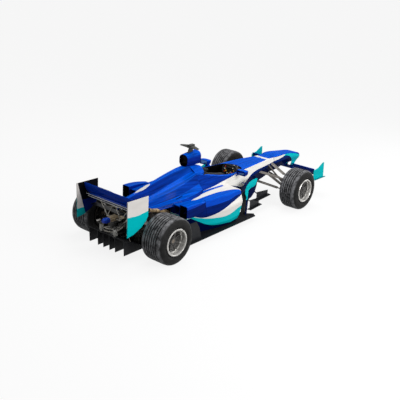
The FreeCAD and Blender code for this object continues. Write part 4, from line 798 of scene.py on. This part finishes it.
dress(joined("inner_bargeboards", inner_boards), carbon, "chassis")

# ---------------------------------------- engine, gearbox and tail
# The gearbox is cast magnesium with ribs and bolts, oily brown-grey and rough from the
# sand, and bolted to the engine. The crash structure behind it is a heat-shielded
# composite box, tanned in streaks, with a painted blue end cap that is painted lighter
# on faces that look up, a painted highlight.
cast, tree, shader, place = finish_of("cast_alloy")
share = clouds(tree, place, 22.0, 8.0)[1]
grain = add(tree, "TexNoise", None, {"Vector": place, "Scale": 250.0, "Detail": 3.0}).outputs["Fac"]
colour = painted(tree, tint("#1c1b1a"), (tint("#4c4a47"), share))
surfaced(tree, shader, colour, 0.5, 0.5, (grain, 0.4, 0.001), 0.6)
for name in ("engine_block", "gearbox", "radiators", "rear_uprights"):
    paint_node(name, cast)
for side in ("left", "right"):
    paint_node(f"front_upright_{side}", cast)

CAP_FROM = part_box("rear_crash_structure")[0].x + 0.095
tan, tree, shader, place = finish_of("tan_composite")
run = add(tree, "Mapping", None, {"Vector": place, "Scale": (2, 30, 30)}).outputs[0]
colour = painted(
    tree,
    tint("#8c7960"),
    (tint("#dcc9a8"), clouds(tree, run, 4.0, 6.0)[1]),
    (slope_lit(tree, "#0a2a9c", "#1256e0", -0.4, 0.9), (axes(tree, place)[0], "<", CAP_FROM)),
)
surfaced(tree, shader, colour, 0.5, 0.25)
paint_node("rear_crash_structure", tan)

FLANK_RIBS = [
    # place along the car, half width, foot, head
    (-1.42, 0.152, 0.12, 0.47), (-1.56, 0.142, 0.12, 0.48), (-1.7, 0.13, 0.13, 0.49),
]
RIB_THICK, RIB_DEEP, RIB_SUNK, TAIL_WIDE, SEATED = 0.012, 0.024, 0.006, 0.17, 0.002
TAIL_RIBS, BOLT_ROWS, BOLT_COLUMNS = (0.2, 0.29, 0.45, 0.53), (0.225, 0.32, 0.43), (-0.07, 0.07)
BOLT = [(0, 0), (0, 0.009), (0.01, 0.009), (0.012, 0.006), (0.012, 0)]
gear_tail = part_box("gearbox")[0].x
ribs = []
for x, half, low, high in FLANK_RIBS:
    for side in (1, -1):
        middle = (x, side * (half - RIB_SUNK), (low + high) / 2)
        ribs.append(rounded_block("rib", middle, (RIB_THICK, RIB_DEEP, high - low), 0.004))
for height in TAIL_RIBS:
    size = (RIB_THICK, TAIL_WIDE, RIB_THICK)
    ribs.append(rounded_block("rib", (gear_tail - SEATED, 0, height), size, 0.004))
for across in BOLT_COLUMNS:
    for height in BOLT_ROWS:
        ribs.append(spun("bolt", BOLT, (gear_tail + SEATED, across, height), (-1, 0, 0), 12))
dress(joined("gearbox_ribs", ribs), cast, "chassis")

# ---------------------------------------- rear suspension's springs and rockers
# Two coil-over dampers stand on the gearbox's tail, with oiled steel rockers, an oil
# tank, braided oil pipes, and slim stays up to the wing's lower plane, all bolted on.
# Springs and braid are pale and catch the light; the rest is dull with oil.
spring_steel = mottled("spring_steel", "#8b8a86", "#c6c5c0", 50.0, 0.35, 0.6)
oiled = mottled("oiled_dark_steel", "#161616", "#3a3937", 35.0, 0.45, 0.5, 0.3)
pale_pipe = mottled("pale_braided_pipe", "#55534f", "#aeaba2", 80.0, 0.4, 0.7, 0.5)


def between(name, foot, head, section):
    """A solid spun about the line between two points; section is (share of the length, radius)."""
    foot, head = Vector(foot), Vector(head)
    length = (head - foot).length
    return spun(name, [(share * length, radius) for share, radius in section], foot, head - foot, 24)


def coil(name, foot, head, coil_radius, wire, turns):
    """A wire ring screwed up its axis, then leaned onto its seats."""
    foot, head = Vector(foot), Vector(head)
    bpy.ops.object.select_all(action="DESELECT")
    bpy.ops.mesh.primitive_circle_add(
        vertices=10, radius=wire, location=(coil_radius, 0, 0), rotation=(math.pi / 2, 0, 0)
    )
    piece = bpy.context.object
    piece.name = name
    apply_all(piece)
    finish_with(
        piece,
        "SCREW",
        axis="Z",
        angle=2 * math.pi,
        iterations=turns,
        screw_offset=(head - foot).length / turns,
        steps=20,
        render_steps=20,
        use_merge_vertices=True,
    )
    bpy.ops.object.mode_set(mode="EDIT")
    bpy.ops.mesh.select_all(action="SELECT")
    bpy.ops.mesh.fill_holes(sides=12)
    bpy.ops.mesh.select_all(action="SELECT")
    bpy.ops.mesh.normals_make_consistent(inside=False)
    bpy.ops.object.mode_set(mode="OBJECT")
    bpy.ops.object.shade_smooth_by_angle(angle=math.radians(50))
    lean = (head - foot).to_track_quat("Z", "Y").to_matrix().to_4x4()
    piece.matrix_world = Matrix.Translation(foot) @ lean
    apply_all(piece)
    return piece


SPRING_OUT, SPRING_X, SPRING_FOOT, SPRING_HEAD = 0.135, -2.24, 0.3, 0.428
SPRING_RADIUS, SPRING_WIRE, SPRING_TURNS, SPRING_FROM, SPRING_TO = 0.026, 0.0045, 6, 0.12, 0.86
DAMPER_SECTION = [
    # share of the length, radius
    (0, 0), (0, 0.014), (0.06, 0.018), (0.08, 0.03), (0.12, 0.03), (0.13, 0.014), (0.5, 0.014),
    (0.51, 0.02), (0.86, 0.02), (0.87, 0.03), (0.92, 0.03), (0.94, 0.014), (1, 0.014), (1, 0),
]
ARM_SECTION = [
    (0, 0), (0, 0.018), (0.1, 0.02), (0.25, 0.012), (0.9, 0.012), (0.94, 0.018), (1.04, 0.018), (1.05, 0),
]
ARM_ROOT, ARM_CLOSING, DAMPER_FOOT = (-1.95, 0.42), 0.75, (0.06, 0.05, 0.022)
coils, dampers = [], []
for side in (1, -1):
    across = side * SPRING_OUT
    foot, head = Vector((SPRING_X, across, SPRING_FOOT)), Vector((SPRING_X, across, SPRING_HEAD))
    dampers.append(between("damper", foot, head, DAMPER_SECTION))
    seats = foot.lerp(head, SPRING_FROM), foot.lerp(head, SPRING_TO)
    coils.append(coil("coil", *seats, SPRING_RADIUS, SPRING_WIRE, SPRING_TURNS))
    dampers.append(rounded_block("damper_foot", foot, DAMPER_FOOT, 0.006))
    root = Vector((ARM_ROOT[0], across * ARM_CLOSING, ARM_ROOT[1]))
    dampers.append(between("damper_arm", root, head, ARM_SECTION))
dress(joined("rear_springs", coils), spring_steel, "chassis")
dress(joined("rear_dampers", dampers), oiled, "chassis")

PIPE_ROUTE = [
    (-1.95, -0.1, 0.44), (-2.01, -0.1, 0.42), (-2.09, -0.085, 0.35), (-2.16, -0.035, 0.305),
    (-2.22, 0.025, 0.31), (-2.25, 0.08, 0.325),
]
VENT_ROUTE = [
    (-1.945, 0.12, 0.26), (-2.0, 0.14, 0.26), (-2.06, 0.16, 0.29), (-2.1, 0.2, 0.3), (-2.1, 0.26, 0.27),
    (-2.09, 0.27, 0.22),
]
PIPE_RADIUS, VENT_RADIUS = 0.012, 0.008
pipes = []
for lift, inboard in ((0, 0), (0.035, 0.02)):
    points = [(x + inboard, y + inboard * 0.5, z + lift) for x, y, z in PIPE_ROUTE]
    x, y, z = PIPE_ROUTE[0]
    points[0] = (x, y + inboard, z + lift)
    pipes.append(tube("oil_pipe", points, PIPE_RADIUS))
for side in (1, -1):
    pipes.append(tube("vent_pipe", [on_side(side, spot) for spot in VENT_ROUTE], VENT_RADIUS))
dress(joined("gearbox_pipes", pipes), pale_pipe, "chassis")

STAYS = [
    # foot, head, radius; the section is (share of the length, share of the radius)
    ((-2.14, 0.125, 0.505), (-2.135, 0.02, 0.686), 0.008),
    ((-2.14, 0.125, 0.505), (-2.135, 0.28, 0.686), 0.01),
    ((-1.935, 0.1, 0.545), (-2.1, 0.38, 0.68), 0.008),
]
BRACKET_MIDDLE, BRACKET_SIZE = (-2.14, 0.088, 0.503), (0.03, 0.1, 0.018)
STAY_SECTION = [(0, 0), (0, 1), (0.06, 1), (0.1, 0.75), (0.9, 0.75), (0.94, 1), (1, 1), (1, 0)]
stays = []
for side in (1, -1):
    for foot, head, radius in STAYS:
        section = [(share, radius * wide) for share, wide in STAY_SECTION]
        stays.append(between("stay", on_side(side, foot), on_side(side, head), section))
    stays.append(rounded_block("stay_bracket", on_side(side, BRACKET_MIDDLE), BRACKET_SIZE, 0.005))
dress(joined("wing_stays", stays), pale_pipe, "chassis")

FITTINGS = [
    # name, place on the left, size, edge, turn about x and about y
    ("rocker", (-1.8, 0.1, 0.53), (0.13, 0.02, 0.05), 0.008, 0.3, 0.2),
    ("oil_box", (-1.66, 0.165, 0.42), (0.16, 0.05, 0.1), 0.012, 0, 0),
    ("valve_block", (-1.995, 0.085, 0.37), (0.09, 0.07, 0.07), 0.012, 0, 0),
    ("lower_bracket", (-1.99, 0.06, 0.2), (0.07, 0.03, 0.05), 0.008, 0, 0.5),
    ("heat_shield", (-1.965, 0.225, 0.28), (0.008, 0.17, 0.17), 0.003, 0, 0),
    ("shield_stay", (-1.955, 0.15, 0.33), (0.02, 0.05, 0.02), 0.004, 0, 0),
]
CANISTER = [(0, 0), (0, 0.02), (0.005, 0.024), (0.13, 0.024), (0.14, 0.02), (0.15, 0.01), (0.155, 0)]
CANISTER_FOOT = (-2.09, 0.05, 0.4)
TRAY_MIDDLE, TRAY_SIZE = (-2.055, 0, 0.29), (0.2, 0.22, 0.008)
fittings = []
for side in (1, -1):
    for name, middle, size, edge, roll, pitch in FITTINGS:
        turn = (side * roll, pitch, 0)
        fittings.append(rounded_block(name, on_side(side, middle), size, edge, turn))
    fittings.append(spun("canister", CANISTER, on_side(side, CANISTER_FOOT), (1, 0, 0), 24))
fittings.append(rounded_block("tail_tray", TRAY_MIDDLE, TRAY_SIZE, 0.003))
dress(joined("rear_fittings", fittings), oiled, "chassis")

TAIL_FOOT, TAIL_MOUTH = (-1.5, 0.262, 0.515), (-1.79, 0.3, 0.607)
TAIL_SECTION = [
    (0, 0), (0, 0.022), (0.1, 0.027), (0.3, 0.027), (0.31, 0.03), (0.36, 0.03), (0.37, 0.027),
    (0.88, 0.027), (0.9, 0.031), (1, 0.033), (1, 0.028), (0.6, 0.024), (0.6, 0),
]
tail_pipes = []
for side in (1, -1):
    ends = on_side(side, TAIL_FOOT), on_side(side, TAIL_MOUTH)
    tail_pipes.append(between("tail_pipe", *ends, TAIL_SECTION))
# Steel that the exhaust has heated turns tan, in clouds, and loses its gloss.
heated = mottled("heat_tanned_steel", "#594a39", "#bfa680", 18.0, 0.4, 0.4, 0.2)
dress(joined("exhaust_tail_pipes", tail_pipes), heated, "chassis")

# ---------------------------------------- suspension tubes and plank
# Flattened steel tubes in fairings with bolted rod ends, near black on upright faces and
# painted pale on faces that look up, a painted highlight, in painted streaks. The
# drive shafts and exhausts are steel tinted by heat, and the plank that is screwed below
# the floor is laminated wood, with its grain lying flat.
arms, tree, shader, place = finish_of("satin_fairing")
# Dark sides and pale tops: painted shade and painted highlight, in painted streaks.
metal = streak_lit(tree, place, slope_lit(tree, "#121110", "#645f5a", -0.4, 0.9), 0.3, (3, 14, 14))
surfaced(tree, shader, metal, 0.4, 0.5, None, 0.25)
for end in ("front", "rear"):
    for piece in ("upper_wishbones", "lower_wishbones", "pushrods"):
        paint_node(f"{end}_{piece}", arms)
shafts = mottled("heated_steel", "#4a433c", "#8e8478", 16.0, 0.4, 0.8)
for side in ("left", "right"):
    paint_node(f"track_rod_{side}", arms)
    paint_node(f"driveshaft_{side}", shafts)
paint_node("exhausts", heated)

wood, tree, shader, place = finish_of("laminated_plank")
layers = {"Vector": place, "Scale": 30.0, "Distortion": 6.0, "Detail": 3.0}
rings = add(tree, "TexWave", {"bands_direction": "Z"}, layers).outputs["Fac"]
surfaced(tree, shader, painted(tree, tint("#5b4630"), (tint("#7a6146"), rings)), 0.7, 0.5)
paint_node("plank", wood)

# ---------------------------------------- wheels
# Moulded rubber tyres with grooves are seated on forged magnesium rims, with carbon
# discs bolted inside. The ribs are grey where they have run, and painted lighter still
# as a painted highlight; the grooves and side walls stay dark.
TYRE_RADIUS = 0.33
GROOVES = {"front": 5, "rear": 6}
GROOVE_DEEP, GROOVE_WIDE = 0.012, 0.018
GROOVE_FROM, GROOVE_TO, GROOVES_IN = 0.0055, 0.0135, 0.055  # dark between these depths, this far in
BARREL_FROM, BRAKE_SIDE_IN = 0.145, 0.03


def from_axle(tree, place, axle_x):
    """How far a place is from the wheel's axle line."""
    parts = add(tree, "SeparateXYZ", None, {0: place})
    back = add(tree, "Math", {"operation": "SUBTRACT"}, {0: parts.outputs["X"], 1: axle_x})
    rise = add(tree, "Math", {"operation": "SUBTRACT"}, {0: parts.outputs["Z"], 1: TYRE_RADIUS})
    spoke = add(tree, "CombineXYZ", None, {0: back.outputs[0], 1: rise.outputs[0]})
    return add(tree, "VectorMath", {"operation": "LENGTH"}, {0: spoke.outputs[0]}).outputs["Value"]


def rubber_of(end, low, high):
    """Tyre rubber, scuffed grey on the ribs and lightened there as a painted highlight, dark in the
    grooves and on the side walls.
    """
    material, tree, shader, place = finish_of(f"{end}_tyre_rubber")
    radius = from_axle(tree, place, (low.x + high.x) / 2)
    cloud, share = clouds(tree, place, 16.0, 8.0, 0.7, 0.38, 0.66)
    # The ribs' light grey is partly scuffed wear and partly a painted highlight.
    rib = painted(tree, tint("#28282a"), (tint("#8c8c8f"), share))
    shoulder = add(tree, "MapRange", None, {"Value": radius, "From Min": 0.305, "From Max": 0.322})
    groove = [(radius, "<", TYRE_RADIUS - GROOVE_FROM), (radius, ">", TYRE_RADIUS - GROOVE_TO)]
    tread = (axes(tree, place)[1], "near", (low.y + high.y) / 2, (high.y - low.y) / 2 - GROOVES_IN)
    colour = painted(
        tree,
        tint("#070707"),
        (tint("#1d1c1c"), share),
        (rib, shoulder.outputs["Result"]),
        (tint("#0c0c0d"), *groove, tread),
    )
    surfaced(tree, shader, colour, 0.6, 0.14, (cloud, 0.4, 0.002))
    return material


def magnesium_of(end, low, high):
    """Forged magnesium: a barrel painted bright as a painted highlight, darker spokes, and a brake side
    painted dark as painted shade.
    """
    material, tree, shader, place = finish_of(f"{end}_forged_magnesium")
    radius = from_axle(tree, place, (low.x + high.x) / 2)
    share = clouds(tree, place, 25.0, 5.0)[1]
    brake_side = (axes(tree, place)[1], "<", (low.y + high.y) / 2 - BRAKE_SIDE_IN)
    barrel = (radius, ">", BARREL_FROM)
    # The bright barrel is a painted highlight and the dark brake side a painted shade.
    colour = painted(
        tree,
        tint("#1f1e1e"),
        (tint("#514f4d"), share),
        (painted(tree, tint("#b3b1ae"), (tint("#e4e2de"), share)), barrel),
        (painted(tree, tint("#151515"), (tint("#2a2928"), share)), brake_side),
    )
    surfaced(tree, shader, colour, 0.3, 0.5, None, 0.4)
    return material


WALL = [
    # in from the tyre's side, below its tread
    (0.03, 0.14), (0.012, 0.125), (0.006, 0.108), (0.007, 0.102), (0.002, 0.096), (0.002, 0.08),
    (0.006, 0.045), (0.022, 0.02), (0.036, 0.008),
]
LINING = [(0.045, 0.185), (0.04, 0.29)]  # in from the side, radius
TREAD_IN, SHOULDER_DROP, RIB_DROP, GROOVE_LEAN = 0.05, 0.003, 0.0005, 0.003
TYRE_STEPS, LIP_STEPS = 96, 64
# The rim's lip is polished bright, and the disc is dull black carbon.
lip_metal = mottled("polished_magnesium", "#a3a19e", "#d0ceca", 30.0, 0.25, 0.7)
disc = mottled("carbon_brake_disc", "#17171a", "#2e2e31", 60.0, 0.4)
RIM_EDGE, RIM_BEAD = 0.19, 0.014
LIP = [
    # out from the bead, below the rim's edge
    (0.0095, 0.018), (0.0125, 0.015), (0.0125, 0.004), (0.0095, 0.001), (0.0085, 0.004), (0.0085, 0.015),
]
for end in ("front", "rear"):
    low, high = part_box(f"{end}_tyre_left")
    rubber, magnesium = rubber_of(end, low, high), magnesium_of(end, low, high)
    for side, outward in (("left", 1), ("right", -1)):
        low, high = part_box(f"{end}_tyre_{side}")
        centre = (low + high) / 2
        half = (high.y - low.y) / 2
        radius = (high.z - low.z) / 2
        tread_half = half - TREAD_IN
        wall = [(-half + inset, radius - drop) for inset, drop in WALL]
        outline = wall + [(-tread_half, radius - SHOULDER_DROP)]
        for count in range(GROOVES[end]):
            middle = -tread_half + (count + 1) * 2 * tread_half / (GROOVES[end] + 1)
            outline += [
                (middle - GROOVE_WIDE / 2, radius - RIB_DROP),
                (middle - GROOVE_WIDE / 2 + GROOVE_LEAN, radius - GROOVE_DEEP),
                (middle + GROOVE_WIDE / 2 - GROOVE_LEAN, radius - GROOVE_DEEP),
                (middle + GROOVE_WIDE / 2, radius - RIB_DROP),
            ]
        outline.append((tread_half, radius - SHOULDER_DROP))
        outline += [(-across, reach) for across, reach in reversed(wall)]
        outline += [(half - inset, reach) for inset, reach in LINING]
        outline += [(-half + inset, reach) for inset, reach in reversed(LINING)]
        tyre = spun(f"grooved_tyre_{end}_{side}", outline, centre, (0, 1, 0), TYRE_STEPS)
        dress(tyre, rubber, f"wheel_{end}_{side}")
        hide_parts(f"{end}_tyre_{side}")
        paint_node(f"{end}_rim_{side}", magnesium)
        paint_node(f"{end}_brake_disc_{side}", disc)
        ring = [(half - RIM_BEAD + proud, RIM_EDGE - drop) for proud, drop in LIP]
        lip = spun(f"rim_lip_{end}_{side}", ring, centre, (0, outward, 0), LIP_STEPS)
        dress(lip, lip_metal, f"wheel_{end}_{side}")
